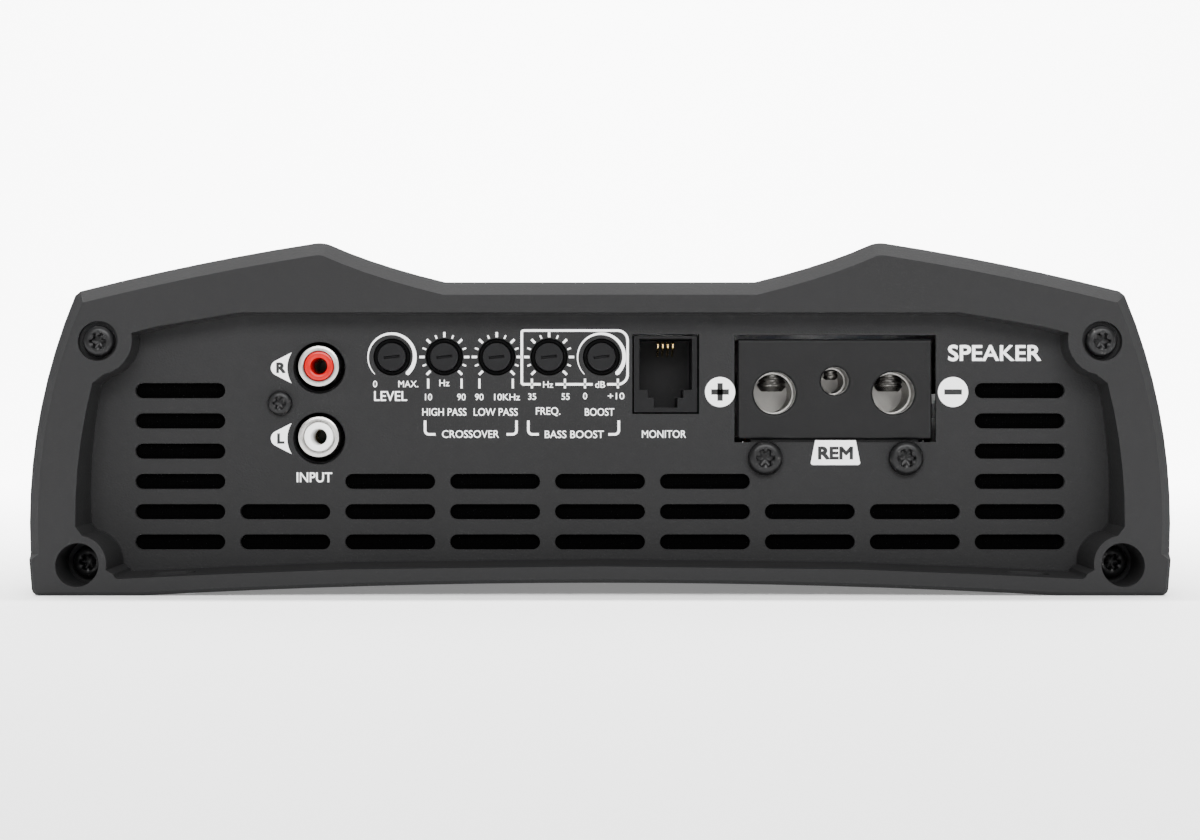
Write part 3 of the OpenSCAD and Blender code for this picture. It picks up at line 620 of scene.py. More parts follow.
class AMP_OT_stage(bpy.types.Operator):
    """Camera, floor with a curved backdrop, soft lights and a pale world"""

    bl_idname = "amplifier.stage"
    bl_label = "Stage"

    def execute(self, context):
        data = bpy.data.cameras.new("camera")
        data.lens = context.scene.amp_sizes.lens
        data.sensor_width = 36
        data.clip_start = 0.01
        camera = bpy.data.objects.new("camera", data)
        context.collection.objects.link(camera)
        camera.location = EYE
        camera.rotation_euler = (math.pi / 2, 0, 0)
        context.scene.camera = camera

        # The floor is a strip that curves up behind: flat, then a quarter circle, then upright
        turn = np.linspace(0, np.pi / 2, 17)
        near, half, reach, rise, top = -3.0, 3.0, 1.6, 0.7, 2.4
        y = np.concatenate([[near, reach - rise - 0.1], reach - rise + rise * np.sin(turn), [reach]])
        z = np.concatenate([[0.0, 0.0], rise - rise * np.cos(turn), [top]])
        points = np.stack(np.broadcast_arrays([-half, half], y[:, None], z[:, None]), -1)
        faces = [(2 * i, 2 * i + 1, 2 * i + 3, 2 * i + 2) for i in range(len(y) - 1)]
        paper = studio_floor("amp_floor", context.scene.amp_colours.floor)
        floor = solid("floor", points, faces, 60, paper)
        if floor.data.polygons[0].normal.z < 0:
            floor.data.flip_normals()

        for name, at, target, size, power in [
            ("overhead", (0, -0.15, 1.1), (0, 0, 0.03), (1.4, 0.8), 5),
            ("front", (0.1, -1.5, 0.8), (0, -0.1, 0.03), (1.4, 0.6), 38),
            ("backdrop", (0, 0.35, 1.3), (0, 1.5, 0.5), (1.8, 0.5), 220),
        ]:
            soft_light(name, at, target, size, power)
        world = bpy.data.worlds.new("studio")
        world.use_nodes = True
        world.node_tree.nodes["Background"].inputs["Color"].default_value = (1, 1, 1, 1)
        world.node_tree.nodes["Background"].inputs["Strength"].default_value = 0.7
        context.scene.world = world
        return {"FINISHED"}


# ---- legends ----


def stroke(path, width):
    """A printed line: a flat bar carried along a path of (x, z), cut square at its ends.

    At each point the bar reaches half its width to both sides, along the normal of the mean of the two
    neighbouring directions, divided by the cosine of half the turn there.
    """
    path = np.asarray(path, float)
    step = np.diff(path, axis=0)
    step /= np.linalg.norm(step, axis=1)[:, None]
    before, after = np.vstack([step[:1], step]), np.vstack([step, step[-1:]])
    mean = before + after
    mean /= np.linalg.norm(mean, axis=1)[:, None]
    normal = np.stack([-mean[:, 1], mean[:, 0]], -1)
    reach = width / 2 / np.clip((mean * after).sum(1), 0.3, 1)[:, None]
    left, right = path + normal * reach, path - normal * reach
    ring = np.stack([left, right, right, left], 1)
    back, front = PANEL_Y, PANEL_Y - bpy.context.scene.amp_sizes.ink
    depth = np.broadcast_to(np.array([front, front, back, back]), ring.shape[:2])
    return skin(np.stack([ring[..., 0], depth, ring[..., 1]], -1))


def slab(outline):
    """A printed shape: an outline of (x, z) given the thickness of the ink."""
    outline = np.asarray(outline, float)
    back, front = PANEL_Y, PANEL_Y - bpy.context.scene.amp_sizes.ink
    rings = [np.stack([outline[:, 0], np.full(len(outline), y), outline[:, 1]], -1) for y in (back, front)]
    return skin(rings)


def arc(centre, radius, start, end, count=24):
    """Points of (x, z) on an arc, with angles in degrees measured from +X towards +Z."""
    angle = np.radians(np.linspace(start, end, count))
    radius = np.broadcast_to(radius, angle.shape)
    return np.stack([centre[0] + radius * np.cos(angle), centre[1] + radius * np.sin(angle)], -1)


def lettering(words):
    """Printed words as one mesh part: each is (text, x, z, capital height, width or 0, weight).

    Each word is made as a text curve, made a mesh, scaled so that a capital has the wanted height, stretched
    to the width where one is given, and stood up with its middle at (x, z) on the panel. The outline is then
    moved out by the weight, along the sum of the directions of the walls that meet at each point.
    """
    parts = []
    ink_depth = bpy.context.scene.amp_sizes.ink
    for text, x, z, height, width, weight in words:
        curve = bpy.data.curves.new("word", "FONT")
        curve.body = text
        curve.size = 1
        curve.extrude = 0.5
        curve.resolution_u = 4
        word = bpy.data.objects.new("word", curve)
        bpy.context.collection.objects.link(word)
        bpy.context.view_layer.update()
        mesh = bpy.data.meshes.new_from_object(word.evaluated_get(bpy.context.evaluated_depsgraph_get()))
        points = np.zeros(len(mesh.vertices) * 3)
        mesh.vertices.foreach_get("co", points)
        points = points.reshape(-1, 3)
        faces = [tuple(face.vertices) for face in mesh.polygons]
        facing = np.array([f.normal[:2] if abs(f.normal.z) < 0.5 else (0, 0) for f in mesh.polygons])
        bpy.data.objects.remove(word)
        bpy.data.curves.remove(curve)
        bpy.data.meshes.remove(mesh)
        _, shared = np.unique(np.round(points[:, :2], 5), axis=0, return_inverse=True)
        shared = shared.ravel()
        outward = np.zeros((shared.max() + 1, 2))
        walls = [i for i, face in enumerate(faces) if len(face) == 4 and facing[i].any()]
        for corner in range(4):
            np.add.at(outward, shared[[faces[i][corner] for i in walls]], facing[walls])
        outward /= np.maximum(np.linalg.norm(outward, axis=1), 1e-9)[:, None]
        scale = height * MM / CAPITAL
        low, high = points[:, 0].min(), points[:, 0].max()
        wide = width * MM / (high - low) if width else scale * 0.97
        out = outward[shared] * weight * MM
        flat_x = x * MM + (points[:, 0] - (low + high) / 2) * wide + out[:, 0]
        flat_z = z * MM + points[:, 1] * scale - height * MM / 2 + out[:, 1]
        flat_y = PANEL_Y - ink_depth * (points[:, 2] > 0)
        parts.append((np.stack([flat_x, flat_y, flat_z], -1), faces))
    return joined(parts)


def control_marks(centre, kind, sides):
    """Marks around one control: 13 ticks, or a crescent that grows clockwise, and the two end marks.

    Tick k stands at 225 - 22.5 k degrees, and every second one is longer and wider. The crescent has a
    constant outer radius, and its thickness grows in proportion to the angle turned.
    """
    x, z = centre.x, centre.z
    parts = []
    if kind == "ticks":
        for k in range(13):
            angle = math.radians(225 - 22.5 * k)
            main = k % 2 == 0
            reach = np.array([4.0, 5.05 if main else 4.75]) * MM
            ends = np.stack([x + reach * math.cos(angle), z + reach * math.sin(angle)], -1)
            parts.append(stroke(ends, (0.48 if main else 0.34) * MM))
    else:
        grown = np.linspace(0.14, 0.85, 48) * MM
        outer = arc((x, z), 4.98 * MM, 225, -45, 48)
        inner = arc((x, z), 4.98 * MM - grown, 225, -45, 48)
        tip = (outer[-1] + inner[-1]) / 2
        cap = arc(tip, grown[-1] / 2, -45, -225, 9)[1:-1]
        parts.append(slab(np.concatenate([outer, cap, inner[::-1]])))
    for side in sides:
        mark = np.array([[x + side * MM, 42.86 * MM], [x + side * MM, 40.9 * MM]])
        parts.append(stroke(mark, 0.42 * MM))
    return parts


def badge(x, z, plus):
    """The parts of a polarity badge: a white disc, and the dark bars on it."""
    disc = slab(arc((x, z), 3.04 * MM, 0, 352.5, 48))
    bars = [np.array([[x - 1.8 * MM, z], [x + 1.8 * MM, z]])]
    if plus:
        bars.append(np.array([[x, z - 1.8 * MM], [x, z + 1.8 * MM]]))
    return disc, [stroke(bar, 1.1 * MM) for bar in bars]


class AMP_OT_legends(bpy.types.Operator):
    """White legends of the front panel, and the dark signs printed over their labels"""

    bl_idname = "amplifier.legends"
    bl_label = "Legends"

    def execute(self, context):
        sizes = context.scene.amp_sizes
        small, name, large = (v / MM for v in (sizes.small_text, sizes.name_text, sizes.large_text))
        at = [c / MM for c in CONTROL_AT]
        marks = [("arc", ()), ("ticks", (-3.28, 3.48)), ("ticks", (-3.5, 3.26)), ("ticks", (-3.48, 3.2)),
                 ("arc", (-3.34, 3.32))]
        white = []
        for centre, (kind, sides) in zip(CONTROL_AT, marks):
            white += control_marks(centre, kind, sides)

        # Words: offset from the control, capital height and width
        bold, firm, light = 0.13, 0.05, 0.015
        beside = [
            [("0", -3.42, -5.46, small, 0, light), ("MAX.", 3.3, -5.46, small, 4.0, light),
             ("LEVEL", -0.28, -7.9, large, 6.6, firm)],
            [("Hz", 0, -5.26, small, 2.0, light), ("10", -3.2, -8.1, small, 0, light),
             ("90", 3.45, -8.1, small, 0, light), ("HIGH PASS", 0, -11.13, name, 8.9, light)],
            [("90", -3.54, -8.1, small, 0, light), ("10KHz", 2.1, -8.1, small, 5.2, light),
             ("LOW PASS", -0.2, -11.13, name, 8.9, light)],
            [("Hz", -0.2, -5.57, small, 2.0, light), ("35", -3.44, -8.0, small, 0, light),
             ("55", 3.34, -8.0, small, 0, light), ("FREQ.", -0.2, -10.93, name, 4.9, light)],
            [("dB", -0.28, -5.57, small, 2.0, light), ("0", -3.32, -7.9, small, 0, light),
             ("+10", 2.96, -7.9, small, 3.3, light), ("BOOST", -0.38, -11.13, name, 5.9, light)],
        ]
        words = [
            (text, centre.x + dx, centre.z + dz, cap, width, weight)
            for centre, group in zip(at, beside)
            for text, dx, dz, cap, width, weight in group
        ]
        words += [
            ("CROSSOVER", -26.2, 31.65, name, 11.5, light), ("BASS BOOST", -5.2, 31.6, name, 11.9, light),
            ("MONITOR", 12.95, 31.65, name, 8.9, light), ("INPUT", -57.8, 22.9, large, 7.1, firm),
            ("SPEAKER", 79.85, 48.06, sizes.speaker_text / MM, 18.6, bold),
        ]
        white.append(lettering(words))

        # Box around the two bass controls, broken below for two of the words
        left, right = at[3].x - 5.53, at[4].x + 5.28
        top, foot = at[3].z + 5.36, at[3].z - 5.53
        corner = 2.0
        lines = [
            np.concatenate([
                [(-12.0, foot)],
                arc((left + 0.4, foot + 0.4), 0.4, 270, 180, 5),
                arc((left + 0.4, top - 0.4), 0.4, 180, 90, 5),
                arc((right - corner, top - corner), corner, 90, 0, 9),
                arc((right - corner, foot + corner), corner, 0, -90, 9),
                [(1.45, foot)],
            ]),
            np.array([(-9.0, foot), (-1.5, foot)]),
        ]
        # Brackets that gather two controls under one name
        for outer, inner in ((-35.4, -33.3), (-16.9, -18.9), (-14.5, -12.4), (3.8, 1.7)):
            turn = arc((outer + 0.8 * np.sign(inner - outer), 32.4), 0.8, 180, 270, 7)
            if inner < outer:
                turn = arc((outer - 0.8, 32.4), 0.8, 0, -90, 7)
            lines.append(np.concatenate([[(outer, 34.4)], turn, [(inner, 31.6)]]))
        white += [stroke(line * MM, sizes.stroke) for line in lines]

        # Pointed labels beside the input sockets
        lower = 0.35
        for centre_z in (RIGHT_IN.z - lower * MM, LEFT_IN.z - lower * MM):
            tip = arc((-65.0 * MM, centre_z), 1.6 * MM, 118, 242, 15)
            edge = arc((-57.4 * MM, centre_z), 5.9 * MM, 212, 148, 15)
            white.append(slab(np.concatenate([tip, edge])))
        dark = [lettering([("R", -64.6, RIGHT_IN.z / MM - lower, 1.85, 1.6, 0.2),
                           ("L", -64.6, LEFT_IN.z / MM - lower, 1.85, 1.2, 0.2)])]

        # Polarity badges and the plate under the remote wire
        for x, z, plus in ((24.3, 40.17, True), (71.45, 40.17, False)):
            disc, bars = badge(x * MM, z * MM, plus)
            white.append(disc)
            dark += bars
        plate = np.concatenate([
            arc((43.15, 25.9), 0.5, 190, 270, 6), arc((52.15, 25.9), 0.5, -90, -10, 6),
            [(51.75, 30.4), (43.55, 30.4)],
        ]) * MM
        white.append(slab(plate))
        dark.append(lettering([("REM", 47.66, 27.8, 2.3, 6.8, 0.22)]))

        white_ink = ink("amp_white_ink", context.scene.amp_colours.print_white)
        settle(solid("panel_legends", *joined(white), 30, white_ink), "chassis", "white_plastic")
        # The dark signs lie on the white ones
        points, faces = joined(dark)
        points[:, 1] -= sizes.ink * (points[:, 1] < PANEL_Y - sizes.ink / 2)
        dark_ink = ink("amp_dark_ink", shade(context.scene.amp_colours.moulding, 1.2))
        settle(solid("panel_signs", points, faces, 30, dark_ink), "chassis", "black_plastic")
        return {"FINISHED"}


# ---- castings, heatsink and panels ----


class AMP_OT_castings(bpy.types.Operator):
    """The two cast end frames with rounded edges"""

    bl_idname = "amplifier.castings"
    bl_label = "End frames"

    def execute(self, context):
        for node in ("front_frame", "rear_frame"):
            refine(node, context.scene.amp_sizes.casting_edge, 3, joint=0.3)
        return {"FINISHED"}


class AMP_OT_body(bpy.types.Operator):
    """The extruded heatsink, the two end panels and the base plate"""

    bl_idname = "amplifier.body"
    bl_label = "Heatsink and panels"

    def execute(self, context):
        edge = context.scene.amp_sizes.sheet_edge
        refine("heatsink", edge * 2)
        for node in ("front_panel", "rear_panel", "base_plate"):
            refine(node, edge)
        return {"FINISHED"}


# ---- fasteners ----


def lobed(radius):
    """Six-lobe recess: the radius swings by a seventh, six times in a turn."""
    return lambda angle: radius * (0.86 + 0.14 * np.cos(6 * angle))


def hexagon(radius):
    """Hexagon whose corners are at that radius, given as a function of the angle."""
    return lambda angle: radius * 0.866 / np.cos((angle + np.pi / 6) % (np.pi / 3) - np.pi / 6)


def pan_head(points, segments):
    """A pan-head screw in the place of one screw of the frame, with a six-lobe recess and a rolled thread.

    Along its length the frame's screw is longest, and its head is at the end where the points lie
    furthest from the axis. The head is a dome, an arc of an ellipse from its rim to the recess. On the
    shank the radius rises and falls with the cosine of the angle minus the turns of the thread.
    """
    low, high = points.min(0), points.max(0)
    axis = int(np.argmax(high - low))
    centre = (low + high) / 2
    off = np.delete(points - centre, axis, 1)
    far = np.linalg.norm(off, axis=1)
    head_r = far.max()
    head = points[far > head_r * 0.97, axis]
    out = 1 if head.mean() > centre[axis] else -1
    top = (points[:, axis] * out).max()
    seat = (head * out).min()
    foot = (points[:, axis] * out).min()
    shank = far[np.abs(points[:, axis] * out - foot) < 1e-5].max()
    way = np.zeros(3)
    way[axis] = out
    at = centre * (way == 0)
    height = top - seat
    recess = head_r * 0.5
    rim = recess * 1.1
    dome = [
        (rim + (head_r - rim) * math.cos(b) ** 0.8, seat + height * (0.42 + 0.58 * math.sin(b)))
        for b in np.linspace(0, np.pi / 2, 8)
    ]
    pitch = max(shank * 0.36, 0.0005)

    def thread(h):
        return lambda angle: shank * 0.91 + shank * 0.085 * np.cos(angle - 2 * np.pi * h / pitch)

    turns = np.arange(foot + pitch, seat - pitch * 0.6, pitch / 4)
    profile = (
        [(0, foot), (shank * 0.55, foot), (shank * 0.85, foot + pitch * 0.7)]
        + [(thread(h), h) for h in turns]
        + [(shank, seat - pitch * 0.4), (shank, seat), (head_r * 0.985, seat), (head_r, seat + height * 0.05)]
        + dome
        + [(lobed(recess), seat + height * 0.86), (lobed(recess * 0.97), seat + height * 0.02),
           (lobed(recess * 0.5), seat - height * 0.12), (0, seat - height * 0.14)]
    )
    return turned(profile, at, way, segments)


class AMP_OT_fasteners(bpy.types.Operator):
    """Pan-head screws with six-lobe recesses in place of the frame's screws"""

    bl_idname = "amplifier.fasteners"
    bl_label = "Screws"

    def execute(self, context):
        for node in [n for n in SLOT_OF if n.endswith("screws") or n == "rca_screw"]:
            near = "frame" in node or "terminal" in node or node == "rca_screw"
            parts = [pan_head(points, 72 if near else 36) for points in islands(node)]
            stand_in(node, parts, 32)
        return {"FINISHED"}


class AMP_OT_set_screws(bpy.types.Operator):
    """Threaded set screws with a hexagon socket and a cupped tip"""

    bl_idname = "amplifier.set_screws"
    bl_label = "Set screws"

    def execute(self, context):
        pitch = context.scene.amp_sizes.thread_pitch
        steel = plated("amp_set_screws", shade(context.scene.amp_colours.nickel, 0.5), 0.3)
        for node in [n for n in SLOT_OF if n.endswith("set_screw")]:
            low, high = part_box(node)
            radius, length = (high.x - low.x) / 2, high.z - low.z
            at = np.array([(low.x + high.x) / 2, (low.y + high.y) / 2, low.z])

            def crest(h):
                # The thread fades in above the tip and out below the top
                deep = 0.075 * min(1, (h - radius * 0.3) / pitch + 0.3, (length - h) / pitch)
                return lambda angle: radius * (1 - deep * (1 - np.cos(angle - 2 * np.pi * h / pitch)))

            heights = np.arange(radius * 0.32, length - 0.35 * MM, pitch / 8)
            socket = radius * 0.6
            profile = (
                [(0, radius * 0.12), (radius * 0.35, radius * 0.1), (radius * 0.62, 0), (radius * 0.72, 0)]
                + [(crest(h), h) for h in heights]
                + [(radius * 0.93, length - 0.25 * MM), (radius * 0.88, length), (radius * 0.68, length),
                   (hexagon(socket), length - 0.2 * MM), (hexagon(socket), length - radius),
                   (hexagon(socket * 0.6), length - radius * 1.08), (0, length - radius * 1.2)]
            )
            stand_in(node, [turned(profile, at, (0, 0, 1), 60)], 38, steel)
        return {"FINISHED"}


# ---- sockets, controls and terminals ----


class AMP_OT_inputs(bpy.types.Operator):
    """Phono sockets: plated shells with rolled lips, coloured inserts and their contacts"""

    bl_idname = "amplifier.inputs"
    bl_label = "Input sockets"

    def execute(self, context):
        sizes = context.scene.amp_sizes
        refine("rca_housing", sizes.plastic_edge)
        shells, contacts = [], []
        for points in islands("rca_shells"):
            at, r, low, high = round_part(points, 1)
            front, back = -low, -high
            bore, root, step = r - 1.1 * MM, r - 0.35 * MM, back + 2.4 * MM
            shells.append(turned([
                (bore, back), (bore, front - 0.45 * MM), (bore + 0.1 * MM, front - 0.14 * MM),
                (bore + 0.32 * MM, front), (r - 0.3 * MM, front), (r - 0.08 * MM, front - 0.1 * MM),
                (r, front - 0.32 * MM), (r, step), (root, step), (root, back),
            ], at, (0, -1, 0), 96, loop=True))
        stand_in("rca_shells", shells, 30)
        bore = 1.6 * MM
        for node in ("rca_insert_right", "rca_insert_left"):
            at, r, low, high = round_part(corners(node), 1)
            front, back = -low, -high
            lip = turned([
                (bore, back), (bore, front - 0.5 * MM), (bore + 0.12 * MM, front - 0.16 * MM),
                (bore + 0.4 * MM, front), (r - 0.42 * MM, front), (r - 0.12 * MM, front - 0.12 * MM),
                (r, front - 0.4 * MM), (r, back),
            ], at, (0, -1, 0), 72, loop=True)
            stand_in(node, [lip], 30)
        for points in islands("rca_contacts"):
            at, r, low, high = round_part(points, 1)
            front, back = -low, -high
            contacts.append(turned([
                (bore, back), (r - 0.2 * MM, back), (r, back + 0.2 * MM), (r, front - 0.15 * MM),
                (r - 0.15 * MM, front), (bore + 0.15 * MM, front), (bore, front - 0.15 * MM),
            ], at, (0, -1, 0), 48, loop=True))
        stand_in("rca_contacts", contacts, 30)
        return {"FINISHED"}


class AMP_OT_controls(bpy.types.Operator):
    """Five slotted control shafts, each on its own body, and the potentiometers behind them"""

    bl_idname = "amplifier.controls"
    bl_label = "Controls"

    def execute(self, context):
        sizes = context.scene.amp_sizes
        for name in CONTROLS:
            refine(name + "_shaft", sizes.plastic_edge * 0.6)
        refine("potentiometer_bodies", sizes.plastic_edge * 0.5)
        return {"FINISHED"}


class AMP_OT_monitor(bpy.types.Operator):
    """Monitor socket with four sprung contact wires"""

    bl_idname = "amplifier.monitor"
    bl_label = "Monitor socket"

    def execute(self, context):
        shell = moulded("amp_monitor_shell", shade(context.scene.amp_colours.moulding, 1.5), 0.45)
        refine("monitor_jack", context.scene.amp_sizes.plastic_edge * 0.6, material=shell)
        parts = []
        for points in islands("monitor_jack_contacts"):
            low, high = points.min(0), points.max(0)
            x, half = (low[0] + high[0]) / 2, (high[0] - low[0]) / 2
            # Along the roof to the front, round a half circle, and back on a slope
            bend = np.linspace(np.pi / 2, np.pi * 1.38, 10)
            r = 0.7 * MM
            front, top = low[1] + r, high[2] - half
            line = np.concatenate([
                [(high[1], top)],
                np.stack([front + r * np.cos(bend), top - r + r * np.sin(bend)], -1),
                [(high[1] - 1.2 * MM, low[2] + half)],
            ])
            step = np.gradient(line, axis=0)
            step /= np.linalg.norm(step, axis=1)[:, None]
            turn = np.linspace(0, 2 * np.pi, 10, endpoint=False)
            # Each ring stands square to the line: x by the cosine, and the line's normal by the sine
            side, up = np.cos(turn) * half, np.sin(turn) * half
            rings = np.stack([
                x + np.broadcast_to(side, (len(line), len(turn))),
                line[:, :1] - step[:, 1:] * up,
                line[:, 1:] + step[:, :1] * up,
            ], -1)
            parts.append(skin(rings))
        stand_in("monitor_jack_contacts", parts, 40)
        return {"FINISHED"}


class AMP_OT_terminals(bpy.types.Operator):
    """Terminal blocks with their plated barrels and the copper bars behind them"""

    bl_idname = "amplifier.terminals"
    bl_label = "Terminals"

    def execute(self, context):
        sizes = context.scene.amp_sizes
        for node in ("speaker_terminal_housing", "supply_terminal_housing"):
            refine(node, sizes.plastic_edge * 1.8, 3, clamp=False)
        turned_brass = plated("amp_barrels", shade(context.scene.amp_colours.nickel, 0.8), 0.42, (1, 0.1, 1))
        for node in ("speaker_barrels", "remote_barrel", "supply_barrels"):
            refine(node, sizes.sheet_edge, material=turned_brass)
        refine("bus_bars", sizes.sheet_edge)
        return {"FINISHED"}


# ---- fans and lights ----


def blade(at, y, turn, inner, outer):
    """One curved fan blade as a closed skin of thin sections from the hub to the tip.

    A section is a thin ellipse along a cambered chord: at u, the chord runs by cos u, and the thickness
    and the camber stand off it by sin u and by one minus the square of cos u. It is set at a pitch that
    falls from the hub to the tip, wrapped round the axle by its distance along the turn over the radius,
    and swept forward in proportion to the distance out.
    """
    out = np.linspace(0, 1, 9)[:, None]
    u = np.linspace(0, 2 * np.pi, 20, endpoint=False)[None]
    radius = inner + (outer - inner) * out
    pitch = np.radians(46 - 12 * out)
    half = (4.6 + 2.0 * out) * MM
    off = (0.45 - 0.15 * out) * MM * np.sin(u) + (0.7 + 0.4 * out) * MM * (1 - np.cos(u) ** 2)
    along = half * np.cos(u) * np.cos(pitch) - off * np.sin(pitch)
    axial = half * np.cos(u) * np.sin(pitch) + off * np.cos(pitch)
    angle = turn + 0.35 * out + along / radius
    return skin(np.stack([at[0] + radius * np.cos(angle), y + axial, at[1] + radius * np.sin(angle)], -1))


class AMP_OT_fans(bpy.types.Operator):
    """Two fans: refined housings, and rotors with curved blades that spin on their own bodies"""

    bl_idname = "amplifier.fans"
    bl_label = "Fans"

    def execute(self, context):
        refine("fan_housings", context.scene.amp_sizes.plastic_edge)
        for side in ("left", "right"):
            node = side + "_fan_rotor"
            at, outer, end, face = round_part(corners(node), 1)
            tip, hub, axle = outer - 0.05 * MM, 9.5 * MM, 1.5 * MM
            # From the inner end of the axle outwards to the face of the hub
            back = face - 10.6 * MM
            parts = [turned([
                (0, end), (axle, end), (axle, back), (hub - 0.6 * MM, back), (hub, back + 0.6 * MM),
                (hub, face - 0.8 * MM), (hub - 0.25 * MM, face - 0.25 * MM), (hub - 0.8 * MM, face),
                (hub * 0.66, face), (hub * 0.64, face - 0.25 * MM), (0, face - 0.25 * MM),
            ], at, (0, 1, 0), 64)]
            blades = 7
            for k in range(blades):
                turn = 2 * np.pi * k / blades
                parts.append(blade(at[[0, 2]], (back + face) / 2, turn, hub - 0.7 * MM, tip))
            stand_in(node, parts, 35)
        return {"FINISHED"}


class AMP_OT_lights(bpy.types.Operator):
    """Two domed lights"""

    bl_idname = "amplifier.lights"
    bl_label = "Status lights"

    def execute(self, context):
        parts = []
        for points in islands("status_lights"):
            at, r, foot, top = round_part(points, 1)
            bend = np.linspace(0, np.pi / 2, 9)
            dome = [(r * math.cos(b), top - r + r * math.sin(b)) for b in bend[:-1]]
            profile = [(0, foot), (r * 0.92, foot), (r, foot + 0.1 * MM)] + dome + [(0, top)]
            parts.append(turned(profile, at, (0, 1, 0), 36))
        stand_in("status_lights", parts, 40)
        return {"FINISHED"}


# ---- boards and the parts on them ----


def winding(node, core, turns, wire):
    """Enamelled wire wound through a ring core, as one tube closed on itself.

    With the angle around the core from 0 to a full turn, the angle around its section is that times the
    number of turns. The path is a rounded rectangle about the section, a superellipse of power 5, and
    the wire is a circle about the path, between the section's outward direction and the binormal.
    """
    low, high = corners(core)
    at = (low + high) / 2
    outer = (high[0] - low[0]) / 2
    inner = outer * (12 / 21 if turns > 30 else 8 / 15)
    half_w, half_h = (outer - inner) / 2 + wire, (high[2] - low[2]) / 2 + wire
    t = np.linspace(0, 1, turns * 28, endpoint=False)
    around, section = 2 * np.pi * t, 2 * np.pi * t * turns
    c, s = np.cos(section), np.sin(section)
    size = (np.abs(c) ** 5 + np.abs(s) ** 5) ** (-1 / 5)
    ring = (outer + inner) / 2 + half_w * size * c
    path = at + np.stack([ring * np.cos(around), ring * np.sin(around), half_h * size * s], -1)
    step = np.roll(path, -1, 0) - np.roll(path, 1, 0)
    step /= np.linalg.norm(step, axis=1)[:, None]
    outward = np.stack([c * np.cos(around), c * np.sin(around), s], -1)
    outward -= (outward * step).sum(1)[:, None] * step
    outward /= np.linalg.norm(outward, axis=1)[:, None]
    beside = np.cross(step, outward)
    turn = np.linspace(0, 2 * np.pi, 8, endpoint=False)[None, :, None]
    rings = path[:, None] + wire * 0.97 * (outward[:, None] * np.cos(turn) + beside[:, None] * np.sin(turn))
    return stand_in(node, [skin(rings, closed=True)], 60)


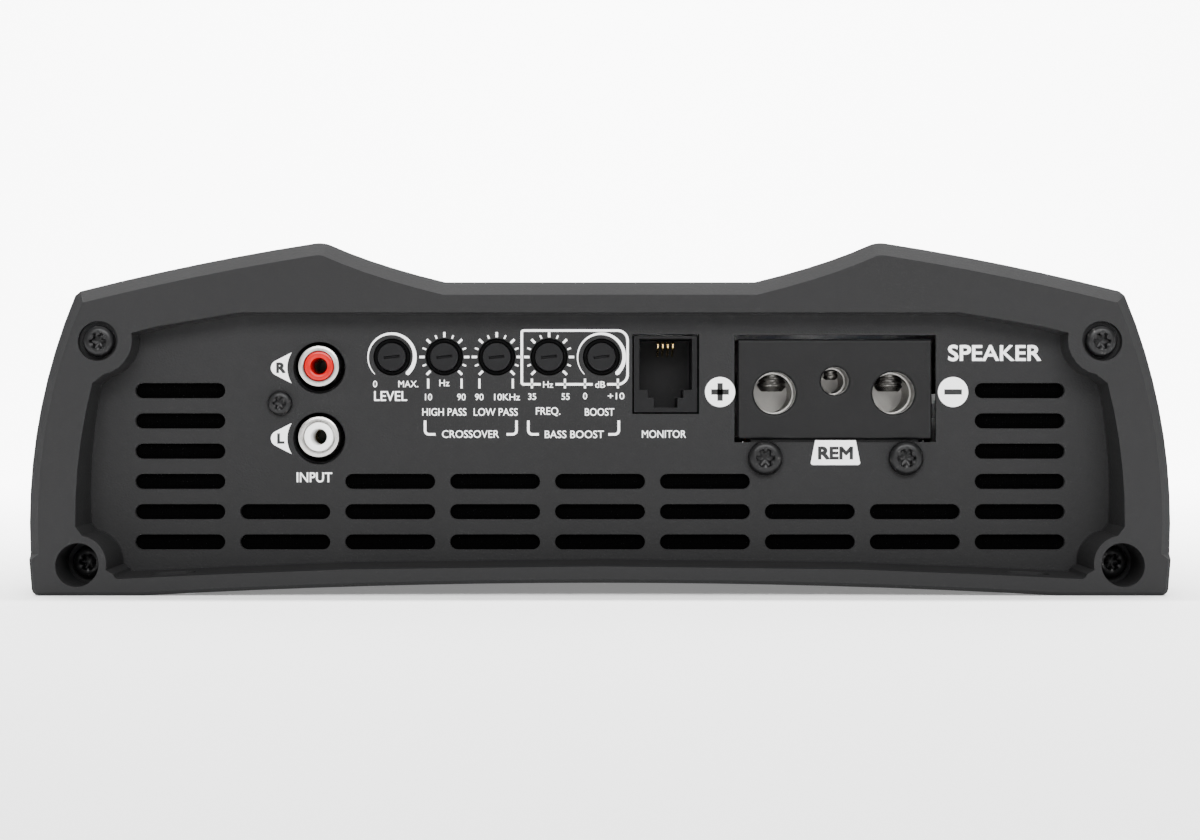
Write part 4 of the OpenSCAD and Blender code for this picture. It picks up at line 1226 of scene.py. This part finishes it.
class AMP_OT_inside(bpy.types.Operator):
    """Boards, capacitors with crimped cans, wound cores, transistors and their clamps"""

    bl_idname = "amplifier.inside"
    bl_label = "Inside"

    def execute(self, context):
        sizes = context.scene.amp_sizes
        for node in ("main_board", "control_board", "board_spacers", "thermal_pads", "transistor_clamps"):
            refine(node, sizes.sheet_edge)
        for node in ("transformer_core", "inductor_core", "power_transistors", "board_link"):
            refine(node, sizes.plastic_edge)
        sleeves, cans = [], []
        for points in islands("supply_capacitors"):
            at, r, foot, top = round_part(points, 2)
            # Sleeve: in at the crimp near the foot, and turned over the rim of the can
            sleeves.append(turned([
                (0, foot), (r - 0.5 * MM, foot), (r, foot + 0.5 * MM), (r, foot + 2.2 * MM),
                (r - 0.7 * MM, foot + 2.8 * MM), (r - 0.7 * MM, foot + 3.4 * MM), (r, foot + 4 * MM),
                (r, top - 0.9 * MM), (r - 0.3 * MM, top - 0.25 * MM), (r - 1 * MM, top),
                (r - 2 * MM, top), (r - 2 * MM, top - 0.3 * MM), (0, top - 0.3 * MM),
            ], at, (0, 0, 1), 48))

            def cross(angle):
                # The vent score on the can: four lines pressed in
                return top - (0.02 + 0.2 * (np.abs(np.sin(2 * angle)) < 0.12)) * MM

            cans.append(turned([
                (0, top - 0.5 * MM), (r - 2.1 * MM, top - 0.5 * MM), (r - 2.1 * MM, top - 0.1 * MM),
                (r - 2.6 * MM, top - 0.04 * MM), (r - 3.2 * MM, cross), (r * 0.3, cross),
                (0, top - 0.22 * MM),
            ], at, (0, 0, 1), 96))
        stand_in("supply_capacitors", sleeves, 35)
        settle(solid("supply_capacitor_tops", *joined(cans), 35), "chassis", "zinc")
        winding("transformer_winding", "transformer_core", 38, 0.85 * MM)
        winding("inductor_winding", "inductor_core", 26, 0.75 * MM)
        return {"FINISHED"}


# ---- sidebar and registration ----


class AMP_PT_sidebar(bpy.types.Panel):
    """Sizes and colours, and one button for each group of pieces"""

    bl_idname = "AMP_PT_sidebar"
    bl_label = "Car Amplifier"
    bl_space_type = "VIEW_3D"
    bl_region_type = "UI"
    bl_category = "Amplifier"

    def draw(self, context):
        for settings in (context.scene.amp_sizes, context.scene.amp_colours):
            box = self.layout.box()
            for key in settings.__annotations__:
                box.prop(settings, key)
        for operator in OPERATORS:
            self.layout.operator(operator.bl_idname)


def register():
    for kind in (*SETTINGS, *OPERATORS, AMP_PT_sidebar):
        bpy.utils.register_class(kind)
    bpy.types.Scene.amp_colours = bpy.props.PointerProperty(type=AmpColours)
    bpy.types.Scene.amp_sizes = bpy.props.PointerProperty(type=AmpSizes)


def unregister():
    del bpy.types.Scene.amp_sizes
    del bpy.types.Scene.amp_colours
    for kind in reversed((*SETTINGS, *OPERATORS, AMP_PT_sidebar)):
        bpy.utils.unregister_class(kind)


def main():
    """Builds everything in order."""
    register()
    for operator in OPERATORS:
        group, action = operator.bl_idname.split(".")
        getattr(getattr(bpy.ops, group), action)()
    # A node that nothing replaces keeps its own mesh and gets the finish of its slot
    for node, piece in frame["nodes"].items():
        if not piece.hide_render:
            piece.data.materials.clear()
            piece.data.materials.append(finish(SLOT_OF[node]))
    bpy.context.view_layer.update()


SETTINGS = [AmpColours, AmpSizes]
OPERATORS = [
    AMP_OT_stage,
    AMP_OT_castings,
    AMP_OT_body,
    AMP_OT_legends,
    AMP_OT_inputs,
    AMP_OT_controls,
    AMP_OT_monitor,
    AMP_OT_terminals,
    AMP_OT_set_screws,
    AMP_OT_fasteners,
    AMP_OT_fans,
    AMP_OT_lights,
    AMP_OT_inside,
]

if __name__ == "__main__":
    main()
